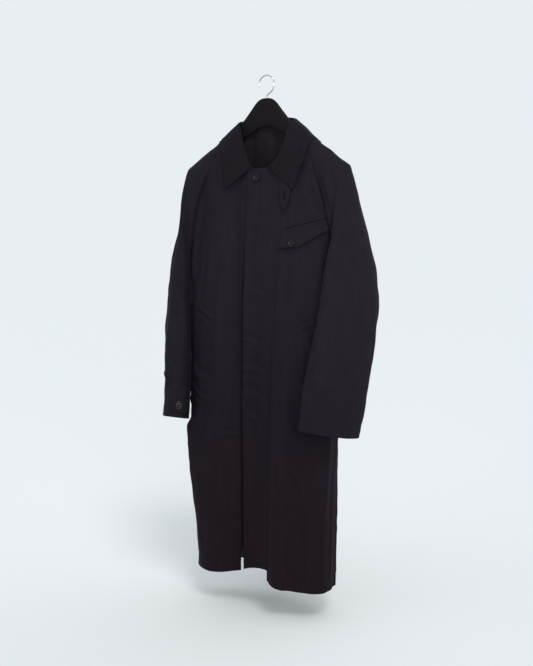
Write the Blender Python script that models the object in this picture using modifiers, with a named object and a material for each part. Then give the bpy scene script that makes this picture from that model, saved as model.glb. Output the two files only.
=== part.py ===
"""Long dark coat with a fly front, raglan sleeves and a wide collar, hung on a shaped hanger.

Metres, +Z up. The coat faces -Y and the wearer's left side is +X.
The origin is the inside of the hook's bow, where a rail or a peg carries it.
"""
import math
from bisect import bisect_right
from collections import namedtuple

import bmesh
import bpy
from mathutils import Vector

# Cloth and seams
CLOTH = 0.0020
SEAM = 0.0003
UNDERLAP_DROP = 0.0036
ON_TOP = 0.0011

# Heights of the coat, below the hook's bow
HEM_Z = -1.218
LEFT_HEM_DROP = 0.010
ARMPIT_Z = -0.42
NECK_FRONT_Z = -0.219
NECK_CORNER_Z = -0.14
NECK_BACK_Z = -0.102
BACK_CORNER_Z = -0.107

# Widths of the front, measured from the middle
FLY_EDGE_X = -0.032
FLY_STITCH_X = 0.040
UNDERLAP_X = 0.026
UNDERLAP_HEM_X = -0.0455
UNDERLAP_SWING_Z = -0.83
UNDERLAP_TURN = -27.0
UNDERLAP_BLEND = 13.0
NECK_CORNER_X = 0.078
NECK_CURVE = 1.7
SIDE_TURN = 90.0
SQUARENESS = 0.85

# Shoulder line on the hanger
SHOULDER_NECK = Vector((0.075, 0.0, -0.112))

# Rows and columns of the cloth grids
ROWS_BELOW = 15
ROWS_ABOVE = 8
FRONT_COLUMNS = 14
FLY_COLUMNS = 5
BACK_COLUMNS = 22
SLEEVE_COLUMNS = 16
ARM_ROWS = 13

# Buttons
NECK_BUTTON_Z = -0.24
NECK_BUTTON_X = -0.001
CHEST_BUTTON_X = 0.1060
CHEST_BUTTON_Z = -0.3885
NECK_BUTTON_R = 0.0100
CUFF_BUTTON_R = 0.0112
CHEST_BUTTON_R = 0.0090
BUTTON_THICK = 0.0036
BUTTON_LIFT = 0.0005
BUTTON_SIDES = 14
Turned = namedtuple("Turned", "radius height")
BUTTON_PROFILE = (
    Turned(0.00, 0.62),
    Turned(0.55, 0.62),
    Turned(0.72, 0.95),
    Turned(0.88, 1.00),
    Turned(1.00, 0.70),
    Turned(0.97, 0.25),
    Turned(0.80, 0.00),
    Turned(0.00, 0.00),
)

# Colours and roughness
BLACK = (0.013, 0.0125, 0.014)
HORN = (0.012, 0.011, 0.012)
BAR_BLACK = (0.014, 0.013, 0.014)
STEEL = (0.62, 0.62, 0.63)
CLOTH_ROUGH = 0.85
HORN_ROUGH = 0.28
BAR_ROUGH = 0.60
STEEL_ROUGH = 0.25

# Hook wire
WIRE_R = 0.0019
BOW_R = 0.0215
BOW_Z = WIRE_R - BOW_R
HOOK_FOOT_Z = -0.0502
HOOK_STEM = 0.003
HOOK_FROM_TURN = -58.0
HOOK_TO_TURN = 192.0
HOOK_STEPS = 16

# The body of the coat, as level rings: half width, and depth in front of and behind the hanger
Ring = namedtuple("Ring", "z half_width front_depth back_depth")
TORSO = (
    Ring(-1.225, 0.190, 0.095, 0.082),
    Ring(-0.990, 0.194, 0.096, 0.079),
    Ring(-0.790, 0.199, 0.094, 0.075),
    Ring(-0.590, 0.196, 0.084, 0.073),
    Ring(-0.440, 0.197, 0.068, 0.071),
    Ring(-0.370, 0.203, 0.057, 0.068),
    Ring(-0.290, 0.214, 0.045, 0.063),
    Ring(-0.212, 0.222, 0.036, 0.057),
    Ring(-0.180, 0.175, 0.035, 0.056),
    Ring(-0.140, 0.116, 0.034, 0.056),
    Ring(-0.112, 0.075, 0.032, 0.055),
    Ring(-0.095, 0.060, 0.030, 0.054),
)

# How far each front lifts at the hem beside the middle, and how far round that fades out
Hem = namedtuple("Hem", "rise fade_turn")
FLY_HEM = Hem(0.024, 200.0)
LEFT_HEM = Hem(0.016, 44.0)
RIGHT_HEM = Hem(0.014, 40.0)
LEVEL_HEM = Hem(0.0, 40.0)

# Hanging folds: where round the body, how wide, where they start and how deep they are at the hem
Fold = namedtuple("Fold", "name turn_top turn_hem half_turn z_start z_full depth")
FOLDS = (
    Fold("front middle hollow", 0, 0, 27, -0.250, -1.040, -0.036),
    Fold("hollow beside the fly edge", -30, -26, 14, -0.440, -1.040, -0.009),
    Fold("right hip swell", -54, -54, 30, -0.660, -0.890, 0.019),
    Fold("right hem draw-in", -54, -54, 32, -0.850, -1.210, -0.012),
    Fold("ridge beside the fly stitch", 40, 23, 13, -0.320, -0.890, 0.014),
    Fold("left front hollow", 54, 43, 14, -0.440, -1.090, -0.010),
    Fold("left front swell", 68, 66, 18, -0.590, -1.140, 0.009),
    Fold("left side hollow", 100, 98, 13, -0.690, -1.140, -0.009),
    Fold("back left ridge", 130, 129, 18, -0.410, -1.090, 0.009),
    Fold("back left hollow", 152, 151, 17, -0.350, -1.040, -0.014),
    Fold("back middle ridge", 180, 180, 19, -0.390, -0.990, 0.012),
    Fold("back right hollow", 209, 211, 18, -0.370, -1.090, -0.013),
    Fold("back right ridge", 238, 240, 17, -0.440, -1.040, 0.013),
    Fold("right side hollow", 262, 262, 13, -0.690, -1.140, -0.008),
)

# Raglan seams, from the armpit up to the neck: how far out they run on the front and the back
Seam = namedtuple("Seam", "z front_x back_x")
RAGLAN = (
    Seam(-0.420, 0.1990, 0.1990),
    Seam(-0.370, 0.1975, 0.1960),
    Seam(-0.310, 0.1930, 0.1860),
    Seam(-0.240, 0.1740, 0.1600),
    Seam(-0.190, 0.1370, 0.1260),
    Seam(-0.140, 0.0780, 0.0860),
    Seam(-0.107, 0.0600, 0.0600),
)

# Left sleeve, from the armhole to the cuff: inner and outer edge, and how far it swings and turns
Sleeve = namedtuple("Sleeve", "inner_x inner_z outer_x outer_z mid_y half_depth twist")
SLEEVE = (
    Sleeve(0.1995, -0.4205, 0.2225, -0.2115, 0.000, 0.047, 0.0),
    Sleeve(0.2020, -0.434, 0.2325, -0.254, 0.000, 0.056, 2.0),
    Sleeve(0.2050, -0.452, 0.2420, -0.305, 0.000, 0.065, 4.0),
    Sleeve(0.2070, -0.480, 0.2555, -0.372, 0.000, 0.075, 6.0),
    Sleeve(0.2070, -0.520, 0.2690, -0.450, -0.002, 0.085, 9.0),
    Sleeve(0.2070, -0.575, 0.2790, -0.530, -0.008, 0.091, 12.0),
    Sleeve(0.2070, -0.635, 0.2760, -0.608, -0.020, 0.091, 15.0),
    Sleeve(0.2050, -0.702, 0.2680, -0.686, -0.036, 0.089, 18.0),
    Sleeve(0.1990, -0.770, 0.2610, -0.762, -0.050, 0.086, 20.0),
    Sleeve(0.1910, -0.836, 0.2490, -0.836, -0.064, 0.083, 22.0),
)
SLIT_TURN = 0.006
ELBOW_Z = -0.550
RIGHT_CUFF_LIFT = 0.013
RIGHT_CUFF_SWING = 0.006

# Collar, from the front middle (0) round to the back middle (1): its fold and the edge of its fall
Collar = namedtuple("Collar", "way fold_x fold_y fold_z edge_x edge_y edge_z swell")
COLLAR = (
    Collar(0.00, 0.012, -0.0410, -0.211, 0.1030, -0.0475, -0.274, 0.003),
    Collar(0.20, 0.041, -0.0440, -0.185, 0.1250, -0.0450, -0.228, 0.004),
    Collar(0.38, 0.061, -0.0370, -0.146, 0.1410, -0.0425, -0.188, 0.004),
    Collar(0.52, 0.071, -0.0040, -0.105, 0.1420, -0.0060, -0.149, 0.003),
    Collar(0.68, 0.053, 0.0385, -0.093, 0.1100, 0.0670, -0.157, 0.005),
    Collar(1.00, 0.000, 0.0550, -0.081, 0.0000, 0.0700, -0.158, 0.006),
)
COLLAR_COLUMNS = 13
COLLAR_LIFT = 0.0018
COLLAR_GAP = 0.002
COLLAR_ROUND = 0.002
STAND_MIDDLE = 0.55

# Where the collar's front and back neck seams end, as shares of the way round
COLLAR_FRONT_WAY = 0.40
COLLAR_BACK_WAY = 0.64

# Fall of the collar: share of the way from the fold to the edge, and how far it swells out and up
Fall = namedtuple("Fall", "along out up")
COLLAR_FALL = (
    Fall(0.14, 0.5, 0.4),
    Fall(0.45, 0.4, 0.5),
    Fall(0.75, 0.0, 0.3),
    Fall(1.00, 0.0, 0.0),
)

# Hanger, from its middle to its end: top edge, height and half thickness
Bar = namedtuple("Bar", "x top_z height half_thick")
HANGER = (
    Bar(0.000, -0.0505, 0.069, 0.0080),
    Bar(0.015, -0.052, 0.069, 0.0080),
    Bar(0.026, -0.059, 0.066, 0.0082),
    Bar(0.039, -0.075, 0.058, 0.0085),
    Bar(0.055, -0.094, 0.046, 0.0088),
    Bar(0.075, -0.1154, 0.035, 0.0090),
    Bar(0.110, -0.139, 0.030, 0.0090),
    Bar(0.160, -0.1727, 0.026, 0.0090),
    Bar(0.203, -0.2018, 0.022, 0.0085),
    Bar(0.210, -0.2085, 0.010, 0.0050),
)
HANGER_SIDES = 12
HANGER_SQUARENESS = 0.7

# Chest flap on the left front: its slanting top edge and its stepped lower edge
Flap = namedtuple("Flap", "along top_x top_z low_x low_z")
CHEST_FLAP = (
    Flap(0.00, 0.0830, -0.362, 0.0690, -0.405),
    Flap(0.40, 0.1230, -0.351, 0.1150, -0.403),
    Flap(0.62, 0.1450, -0.3455, 0.1420, -0.389),
    Flap(1.00, 0.1830, -0.337, 0.1850, -0.363),
)
FLAP_COLUMNS = 8

# Side pocket welts, from the upper end to the lower end
Welt = namedtuple("Welt", "along front_x front_z back_x back_z")
SIDE_WELT = (
    Welt(0.0, 0.1180, -0.590, 0.1500, -0.580),
    Welt(1.0, 0.1500, -0.775, 0.1780, -0.765),
)
WELT_ROWS = 8

# Throat tab under the left collar point, and the cuff tabs
TAB_TOP_Z = -0.234
TAB_POINT_Z = -0.309
TAB_X = 0.078
TAB_HALF = 0.0165
TAB_ROWS = 8
TAB_POINT_FROM = 0.80
TAB_NARROWING = 0.55
TRIM_COLUMNS = 3
CUFF_TAB_AT = 8.62
CUFF_TAB_HALF = 0.27
CUFF_TAB_ROWS = 12
CUFF_POINT_FROM = 0.88
CuffTab = namedtuple("CuffTab", "side start end button_way")
CUFF_TABS = (
    CuffTab("left", 0.025, 0.190, 0.150),
    CuffTab("right", 0.045, 0.285, 0.240),
)


def lerp(a, b, t):
    return a + (b - a) * t


def ease(t):
    """0 to 1 with flat ends"""
    t = min(max(t, 0.0), 1.0)
    return t * t * (3.0 - 2.0 * t)


def steps(count):
    """Even fractions from 0 to 1"""
    return [i / count for i in range(count + 1)]


def smooth(keys, values, at):
    """Smooth curve through the pairs, with rising keys and no overshoot"""
    last = len(keys) - 1
    at = min(max(at, keys[0]), keys[last])
    i = min(bisect_right(keys, at) - 1, last - 1)

    def rate(j):
        return (values[j + 1] - values[j]) / (keys[j + 1] - keys[j])

    def slope(k):
        if k in (0, last):
            return rate(min(k, last - 1))
        before, after = rate(k - 1), rate(k)
        if before * after <= 0.0:
            return 0.0
        return 2.0 * before * after / (before + after)

    span = keys[i + 1] - keys[i]
    t = (at - keys[i]) / span
    bend_in = t * (1.0 - t) ** 2 * slope(i) * span
    bend_out = t * t * (t - 1.0) * slope(i + 1) * span
    return lerp(values[i], values[i + 1], ease(t)) + bend_in + bend_out


def read(table, key, name, at):
    """One named column of a table, read as a smooth curve of its key column"""
    keys = [getattr(row, key) for row in table]
    return smooth(keys, [getattr(row, name) for row in table], at)


def by_row(table, name, at):
    """One named column of a table, read at a row number that may lie between rows"""
    return smooth(list(range(len(table))), [getattr(row, name) for row in table], at)


# The body of the coat
def fold_depth(turn, z):
    """How far the hanging folds push the cloth out at this place"""
    total = 0.0
    for fold in FOLDS:
        down = (fold.z_start - z) / (fold.z_start - fold.z_full)
        if down <= 0.0:
            continue
        middle = lerp(fold.turn_top, fold.turn_hem, min(down, 1.0))
        away = (turn - middle + 180.0) % 360.0 - 180.0
        if abs(away) < fold.half_turn:
            wave = math.cos(0.5 * math.pi * away / fold.half_turn) ** 2
            total += fold.depth * wave * ease(down)
    return total


def power(value):
    return math.copysign(abs(value) ** SQUARENESS, value)


def torso(turn, z, out=0.0):
    """Point of the body's outer face; turn runs from the front middle to the wearer's left"""
    angle = math.radians(turn)
    side = "front_depth" if math.cos(angle) > 0.0 else "back_depth"
    out = out + fold_depth(turn, z)
    x = (read(TORSO, "z", "half_width", z) + out) * power(math.sin(angle))
    y = -(read(TORSO, "z", side, z) + out) * power(math.cos(angle))
    return Vector((x, y, z))


def turn_at(x, z):
    """The turn at which the front reaches this far out"""
    share = min(abs(x) / read(TORSO, "z", "half_width", z), 1.0)
    return math.copysign(math.degrees(math.asin(share ** (1.0 / SQUARENESS))), x)


def hem_z(turn, hem):
    """The hem lifts towards the front middle and drops a little on the wearer's left"""
    drop = LEFT_HEM_DROP * max(math.sin(math.radians(turn)), 0.0)
    return HEM_Z - drop + hem.rise * ease(1.0 - abs(turn) / hem.fade_turn)


def neck_z(x):
    """Height of the front neck seam"""
    return lerp(NECK_FRONT_Z, NECK_CORNER_Z, (abs(x) / NECK_CORNER_X) ** NECK_CURVE)


def front_grid(inner_x, outer_x, side, columns, hem, hem_x=None):
    """Turns and heights of a front piece, from the hem up to the neck seam.

    inner_x and outer_x are its long edges; outer_x None runs to the side and raglan seams.
    hem_x is where the inner edge swings to at the hem.
    """
    rows = []
    edge = math.degrees(SEAM / TORSO[0].half_width)
    for up in steps(ROWS_BELOW):
        level = lerp(HEM_Z, ARMPIT_Z, up)
        swing = max((UNDERLAP_SWING_Z - level) / (UNDERLAP_SWING_Z - HEM_Z), 0.0)
        first = turn_at(inner_x if hem_x is None else lerp(inner_x, hem_x, swing), level)
        final = SIDE_TURN - edge if outer_x is None else turn_at(outer_x, level)
        row = [side * lerp(first, final, c) for c in steps(columns)]
        rows.append([(turn, lerp(hem_z(turn, hem), ARMPIT_Z, up)) for turn in row])
    top_x = NECK_CORNER_X if outer_x is None else outer_x
    for up in steps(ROWS_ABOVE)[1:]:
        low = lerp(ARMPIT_Z, neck_z(inner_x), up)
        high = lerp(ARMPIT_Z, neck_z(top_x), up)
        first = turn_at(inner_x, low)
        end_x = read(RAGLAN, "z", "front_x", high) - SEAM if outer_x is None else outer_x
        final = min(turn_at(end_x, high), SIDE_TURN - edge)
        row = []
        for c in steps(columns):
            top = neck_z(lerp(inner_x, top_x, c))
            row.append((side * lerp(first, final, c), lerp(ARMPIT_Z, top, up)))
        rows.append(row)
    return rows


def back_grid():
    """Turns and heights of the back, from the hem up to the back neck seam"""
    rows = []
    edge = math.degrees(SEAM / TORSO[0].half_width)
    for up in steps(ROWS_BELOW):
        row = [lerp(SIDE_TURN + edge, 360.0 - SIDE_TURN - edge, c) for c in steps(BACK_COLUMNS)]
        rows.append([(turn, lerp(hem_z(turn, LEVEL_HEM), ARMPIT_Z, up)) for turn in row])
    for up in steps(ROWS_ABOVE)[1:]:
        high = lerp(ARMPIT_Z, BACK_CORNER_Z, up)
        first = 180.0 - turn_at(read(RAGLAN, "z", "back_x", high) - SEAM, high)
        first = max(first, SIDE_TURN + edge)
        row = []
        for c in steps(BACK_COLUMNS):
            top = lerp(NECK_BACK_Z, BACK_CORNER_Z, (2.0 * c - 1.0) ** 2)
            row.append((lerp(first, 360.0 - first, c), lerp(ARMPIT_Z, top, up)))
        rows.append(row)
    return rows


def on_torso(grid, out):
    """Points of a grid of turns and heights, moved out from the body; out may be a function of turn"""
    shift = out if callable(out) else lambda turn: out
    return [[torso(turn, z, shift(turn)) for turn, z in row] for row in grid]


# The sleeves
def arm_point(row, way, out=0.0):
    """Point of the left sleeve's tube; way runs from the armpit over the front, outside and back"""
    at = {name: by_row(SLEEVE, name, row) for name in Sleeve._fields}
    inner = Vector((at["inner_x"], at["mid_y"], at["inner_z"]))
    outer = Vector((at["outer_x"], at["mid_y"], at["outer_z"]))
    twist = math.radians(-at["twist"])
    across = (outer - inner) / 2.0
    across = across * (1.0 + out / across.length)
    across = Vector((across.x * math.cos(twist), across.x * math.sin(twist), across.z))
    deep = Vector((-math.sin(twist), math.cos(twist), 0.0)) * (at["half_depth"] + out)
    angle = lerp(SLIT_TURN, 2.0 * math.pi - SLIT_TURN, way)
    return (inner + outer) / 2.0 - across * math.cos(angle) - deep * math.sin(angle)


def raglan_point(down, face, out):
    """Sleeve's side of the raglan seam, from the neck (0) to the armpit (1)"""
    top = NECK_CORNER_Z if face == "front" else BACK_CORNER_Z
    z = lerp(top, ARMPIT_Z, down)
    turn = turn_at(read(RAGLAN, "z", face + "_x", z) + SEAM, z)
    return torso(turn if face == "front" else 180.0 - turn, z, out)


def cap_point(down, way, out=0.0):
    """Point of the sleeve's shoulder cap, between the neck, the raglan seams and the arm's tube"""
    front, back = raglan_point(0.0, "front", out), raglan_point(0.0, "back", out)
    ridge = SHOULDER_NECK + Vector((0.0, 0.0, out))
    pull = 2.0 * ridge - (front + back) / 2.0
    neck = front * (1.0 - way) ** 2 + pull * 2.0 * way * (1.0 - way) + back * way ** 2
    point = lerp(neck, arm_point(0.0, way, out), down)
    near, far = max(1.0 - 2.0 * way, 0.0) ** 2, max(2.0 * way - 1.0, 0.0) ** 2
    for weight, face, start, end in ((near, "front", front, 0.0), (far, "back", back, 1.0)):
        straight = lerp(start, arm_point(0.0, end, out), down)
        drift = arm_point(0.0, end, out) - raglan_point(1.0, face, out)
        point = point + weight * (raglan_point(down, face, out) + drift * down - straight)
    return point


def sleeve_rows(out):
    """Rows of the left sleeve, from the neck to the cuff"""
    ways = steps(SLEEVE_COLUMNS)
    rows = [[cap_point(down, way, out) for way in ways] for down in steps(ROWS_ABOVE)]
    for down in steps(ARM_ROWS)[1:]:
        row = down * (len(SLEEVE) - 1)
        rows.append([arm_point(row, way, out) for way in ways])
    return rows


def mirrored(rows):
    """The same rows on the wearer's right"""
    return [[Vector((-p.x, p.y, p.z)) for p in row] for row in rows]


def right_arm(rows):
    """The right sleeve hangs a little higher and further out below the elbow"""
    def lifted(p):
        down = (ELBOW_Z - p.z) / (ELBOW_Z - SLEEVE[-1].inner_z)
        return Vector((-p.x - RIGHT_CUFF_SWING * ease(down), p.y, p.z + RIGHT_CUFF_LIFT * ease(down)))

    return [[lifted(p) for p in row] for row in rows]


# Making the objects
def finish(name, mesh, material):
    obj = bpy.data.objects.new(name, mesh)
    mesh.materials.append(material)
    coat.objects.link(obj)
    return obj


def wall(name, outer, inner, material):
    """Closed wall between an outer and an inner grid of points"""
    mesh = bpy.data.meshes.new(name)
    bm = bmesh.new()
    faces = [[[bm.verts.new(p) for p in row] for row in grid] for grid in (outer, inner)]
    tall, wide = len(outer), len(outer[0])
    for grid in faces:
        for i in range(tall - 1):
            for j in range(wide - 1):
                bm.faces.new((grid[i][j], grid[i][j + 1], grid[i + 1][j + 1], grid[i + 1][j]))
    rim = [(0, j) for j in range(wide - 1)]
    rim += [(i, wide - 1) for i in range(tall - 1)]
    rim += [(tall - 1, j) for j in range(wide - 1, 0, -1)]
    rim += [(i, 0) for i in range(tall - 1, 0, -1)]
    for (i, j), (k, m) in zip(rim, rim[1:] + rim[:1]):
        bm.faces.new((faces[0][i][j], faces[0][k][m], faces[1][k][m], faces[1][i][j]))
    bmesh.ops.recalc_face_normals(bm, faces=bm.faces)
    bm.to_mesh(mesh)
    bm.free()
    mesh.shade_smooth()
    return finish(name, mesh, material)


def loft(name, rings, material):
    """Closed bar through rings of points, with both ends filled"""
    mesh = bpy.data.meshes.new(name)
    bm = bmesh.new()
    loops = [[bm.verts.new(p) for p in ring] for ring in rings]
    around = len(loops[0])
    for low, high in zip(loops, loops[1:]):
        for j in range(around):
            k = (j + 1) % around
            bm.faces.new((low[j], low[k], high[k], high[j]))
    bm.faces.new(loops[0])
    bm.faces.new(loops[-1])
    bmesh.ops.recalc_face_normals(bm, faces=bm.faces)
    bm.to_mesh(mesh)
    bm.free()
    mesh.shade_smooth()
    return finish(name, mesh, material)


def paint(name, colour, roughness, metallic=0.0):
    material = bpy.data.materials.new(name)
    material.use_nodes = True
    shader = material.node_tree.nodes["Principled BSDF"]
    shader.inputs["Base Color"].default_value = (*colour, 1.0)
    shader.inputs["Roughness"].default_value = roughness
    shader.inputs["Metallic"].default_value = metallic
    material.diffuse_color = (*colour, 1.0)
    return material


def panels():
    """Fronts, fly and back"""
    def under(turn):
        return -UNDERLAP_DROP * ease((turn - UNDERLAP_TURN) / UNDERLAP_BLEND)

    left = front_grid(FLY_STITCH_X + SEAM, None, 1, FRONT_COLUMNS, LEFT_HEM)
    wall("front_left", on_torso(left, 0.0), on_torso(left, -CLOTH), paint("front_left", BLACK, CLOTH_ROUGH))
    right = front_grid(-UNDERLAP_X, None, -1, FRONT_COLUMNS + 3, RIGHT_HEM, -UNDERLAP_HEM_X)
    wall("front_right", on_torso(right, under), on_torso(right, lambda turn: under(turn) - CLOTH),
         paint("front_right", BLACK, CLOTH_ROUGH))
    fly = front_grid(FLY_EDGE_X, FLY_STITCH_X - SEAM, 1, FLY_COLUMNS, FLY_HEM)
    wall("fly_front", on_torso(fly, 0.0), on_torso(fly, -CLOTH), paint("fly_front", BLACK, CLOTH_ROUGH))
    back = back_grid()
    wall("back", on_torso(back, 0.0), on_torso(back, -CLOTH), paint("back", BLACK, CLOTH_ROUGH))


def sleeves():
    outer, inner = sleeve_rows(0.0), sleeve_rows(-CLOTH)
    wall("sleeve_left", outer, inner, paint("sleeve_left", BLACK, CLOTH_ROUGH))
    wall("sleeve_right", right_arm(outer), right_arm(inner), paint("sleeve_right", BLACK, CLOTH_ROUGH))


def neck_seam(way):
    """The neck seam from the front middle (0) to the back middle (1), on the wearer's left"""
    if way < COLLAR_FRONT_WAY:
        x = lerp(0.0, NECK_CORNER_X, way / COLLAR_FRONT_WAY)
        return torso(turn_at(x, neck_z(x)), neck_z(x))
    if way < COLLAR_BACK_WAY:
        return cap_point(0.0, (way - COLLAR_FRONT_WAY) / (COLLAR_BACK_WAY - COLLAR_FRONT_WAY))
    share = (way - COLLAR_BACK_WAY) / (1.0 - COLLAR_BACK_WAY)
    start = 180.0 - turn_at(read(RAGLAN, "z", "back_x", BACK_CORNER_Z), BACK_CORNER_Z)
    return torso(lerp(start, 180.0, share), lerp(BACK_CORNER_Z, NECK_BACK_Z, 1.0 - (1.0 - share) ** 2))


def collar_section(way):
    """Seam, stand, fold and fall of the collar at one place round the neck"""
    fold = Vector([read(COLLAR, "way", "fold_" + axis, way) for axis in "xyz"])
    edge = Vector([read(COLLAR, "way", "edge_" + axis, way) for axis in "xyz"])
    swell = read(COLLAR, "way", "swell", way)
    seam = neck_seam(way) + Vector((0.0, 0.0, COLLAR_LIFT))
    seam.x = max(seam.x, COLLAR_GAP * (1.0 - way))
    outward = Vector((edge.x - fold.x, edge.y - fold.y, 0.0)).normalized()
    turn_over = outward * COLLAR_ROUND + Vector((0.0, 0.0, swell * 0.3))
    section = [seam, lerp(seam, fold, STAND_MIDDLE), fold + outward * COLLAR_ROUND / 2.0 - turn_over]
    section.append(fold + outward * COLLAR_ROUND / 2.0 + turn_over)
    for part in COLLAR_FALL:
        push = outward * part.out + Vector((0.0, 0.0, part.up))
        section.append(lerp(fold, edge, part.along) + push * swell)
    return section


def collar():
    """One folded band from the right front round the back to the left front"""
    half = [collar_section(way) for way in steps(COLLAR_COLUMNS)]
    rows = mirrored(half)[:-1] + half[::-1]
    mesh = bpy.data.meshes.new("collar")
    bm = bmesh.new()
    grid = [[bm.verts.new(p) for p in row] for row in rows]
    for first, second in zip(grid, grid[1:]):
        for j in range(len(first) - 1):
            bm.faces.new((first[j], second[j], second[j + 1], first[j + 1]))
    bmesh.ops.recalc_face_normals(bm, faces=bm.faces)
    bm.to_mesh(mesh)
    bm.free()
    mesh.shade_smooth()
    obj = finish("collar", mesh, paint("collar", BLACK, CLOTH_ROUGH))
    solid = obj.modifiers.new("wall", "SOLIDIFY")
    solid.thickness = CLOTH
    solid.offset = -1.0


def patch(name, rows, material, rise=ON_TOP):
    """A piece that lies on the left front, through rows of (x, z), moved out from its points"""
    grid = [[(turn_at(x, z), z) for x, z in row] for row in rows]
    return wall(name, on_torso(grid, rise + CLOTH), on_torso(grid, rise), material)


def trim():
    """Chest flap, throat tab, side welts and cuff tabs"""
    rows = []
    for along in steps(FLAP_COLUMNS):
        at = {name: read(CHEST_FLAP, "along", name, along) for name in Flap._fields}
        row = []
        for s in steps(TRIM_COLUMNS):
            row.append((lerp(at["top_x"], at["low_x"], s), lerp(at["top_z"], at["low_z"], s)))
        rows.append(row)
    patch("chest_flap", rows, paint("chest_flap", BLACK, CLOTH_ROUGH))

    rows = []
    for down in steps(TAB_ROWS):
        half = TAB_HALF * (1.0 - TAB_NARROWING * ease((down - TAB_POINT_FROM) / (1.0 - TAB_POINT_FROM)))
        z = lerp(TAB_TOP_Z, TAB_POINT_Z, down)
        rows.append([(TAB_X + lerp(-half, half, s), z) for s in steps(TRIM_COLUMNS)])
    patch("throat_tab", rows, paint("throat_tab", BLACK, CLOTH_ROUGH))

    for side, name in ((1, "welt_left"), (-1, "welt_right")):
        rows = []
        for along in steps(WELT_ROWS):
            at = {name: read(SIDE_WELT, "along", name, along) for name in Welt._fields}
            row = []
            for s in steps(TRIM_COLUMNS):
                x = lerp(at["front_x"], at["back_x"], s)
                row.append((side * x, lerp(at["front_z"], at["back_z"], s)))
            rows.append(row)
        patch(name, rows, paint(name, BLACK, CLOTH_ROUGH))

    for tab in CUFF_TABS:
        layers = []
        for rise in (ON_TOP + CLOTH, ON_TOP):
            rows = []
            for along in steps(CUFF_TAB_ROWS):
                point = (along - CUFF_POINT_FROM) / (1.0 - CUFF_POINT_FROM)
                half = CUFF_TAB_HALF * (1.0 - TAB_NARROWING * ease(point))
                way = lerp(tab.start, tab.end, along)
                across = [CUFF_TAB_AT + lerp(-half, half, s) for s in steps(TRIM_COLUMNS)]
                rows.append([arm_point(row, way, rise) for row in across])
            layers.append(rows if tab.side == "left" else right_arm(rows))
        name = "cuff_tab_" + tab.side
        wall(name, layers[0], layers[1], paint(name, BLACK, CLOTH_ROUGH))


def button(name, point, facing, radius):
    """Turned button with a raised rim, set flat on the cloth"""
    mesh = bpy.data.meshes.new(name)
    bm = bmesh.new()
    points = [bm.verts.new((at.radius * radius, 0.0, at.height * BUTTON_THICK)) for at in BUTTON_PROFILE]
    for first, second in zip(points, points[1:]):
        bm.edges.new((first, second))
    bm.to_mesh(mesh)
    bm.free()
    obj = finish(name, mesh, paint(name, HORN, HORN_ROUGH))
    turned = obj.modifiers.new("turned", "SCREW")
    turned.steps = BUTTON_SIDES
    turned.render_steps = BUTTON_SIDES
    turned.use_merge_vertices = True
    turned.merge_threshold = 0.00005
    obj.rotation_mode = "QUATERNION"
    obj.rotation_quaternion = facing.to_track_quat("Z", "Y")
    obj.location = point


def facing_of(surface, a, b, step_a, step_b):
    """Outward direction of a surface at one place, from its neighbours"""
    along = surface(a + step_a, b) - surface(a - step_a, b)
    across = surface(a, b + step_b) - surface(a, b - step_b)
    normal = along.cross(across).normalized()
    return normal if normal.dot(Vector((0.0, -1.0, 0.0))) > 0.0 else -normal


def torso_button(name, x, z, rise, radius):
    """A button on the front, lifted off the body's face"""
    turn = turn_at(x, z)
    facing = facing_of(torso, turn, z, 2.0, 0.004)
    button(name, torso(turn, z) + facing * rise, facing, radius)


def buttons():
    """Neck button, chest flap button and the two cuff buttons"""
    on_patch = ON_TOP + CLOTH + BUTTON_LIFT
    torso_button("neck_button", NECK_BUTTON_X, NECK_BUTTON_Z, BUTTON_LIFT, NECK_BUTTON_R)
    torso_button("chest_button", CHEST_BUTTON_X, CHEST_BUTTON_Z, on_patch, CHEST_BUTTON_R)
    for tab in CUFF_TABS:
        facing = facing_of(arm_point, CUFF_TAB_AT, tab.button_way, 0.1, 0.02)
        point = arm_point(CUFF_TAB_AT, tab.button_way) + facing * on_patch
        if tab.side == "right":
            point = right_arm([[point]])[0][0]
            facing.x = -facing.x
        button("cuff_button_" + tab.side, point, facing, CUFF_BUTTON_R)


def hanger():
    """Shaped bar that rises to the hook, and the wire hook above it"""
    rings = []
    places = [(-1, bar) for bar in HANGER[:0:-1]] + [(1, bar) for bar in HANGER]
    for side, bar in places:
        ring = []
        for k in range(HANGER_SIDES):
            angle = 2.0 * math.pi * k / HANGER_SIDES
            up = math.copysign(abs(math.sin(angle)) ** HANGER_SQUARENESS, math.sin(angle))
            y = bar.half_thick * math.cos(angle)
            ring.append(Vector((side * bar.x, y, bar.top_z - bar.height * (1.0 - up) / 2.0)))
        rings.append(ring)
    loft("hanger_bar", rings, paint("hanger_bar", BAR_BLACK, BAR_ROUGH))

    route = [(0.0, HOOK_FOOT_Z), (0.0, HOOK_FOOT_Z + HOOK_STEM)]
    for share in steps(HOOK_STEPS):
        angle = math.radians(lerp(HOOK_FROM_TURN, HOOK_TO_TURN, share))
        route.append((BOW_R * math.cos(angle), BOW_Z + BOW_R * math.sin(angle)))
    curve = bpy.data.curves.new("hanger_hook", "CURVE")
    curve.dimensions = "3D"
    curve.bevel_depth = WIRE_R
    curve.bevel_resolution = 2
    curve.use_fill_caps = True
    spline = curve.splines.new("POLY")
    spline.points.add(len(route) - 1)
    for point, (x, z) in zip(spline.points, route):
        point.co = (x, 0.0, z, 1.0)
    finish("hanger_hook", curve, paint("hanger_hook", STEEL, STEEL_ROUGH, 1.0))


for old in list(bpy.data.objects):
    bpy.data.objects.remove(old)
coat = bpy.data.collections.new("coat_on_hanger")
bpy.context.scene.collection.children.link(coat)

panels()
sleeves()
collar()
trim()
buttons()
hanger()
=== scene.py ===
"""Looks of the long dark coat on its hanger: creased cloth, stitching, buttons, hanger and hook.

The coat faces -Y and the wearer's left side is +X, as in the CAD model.
"""

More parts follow.
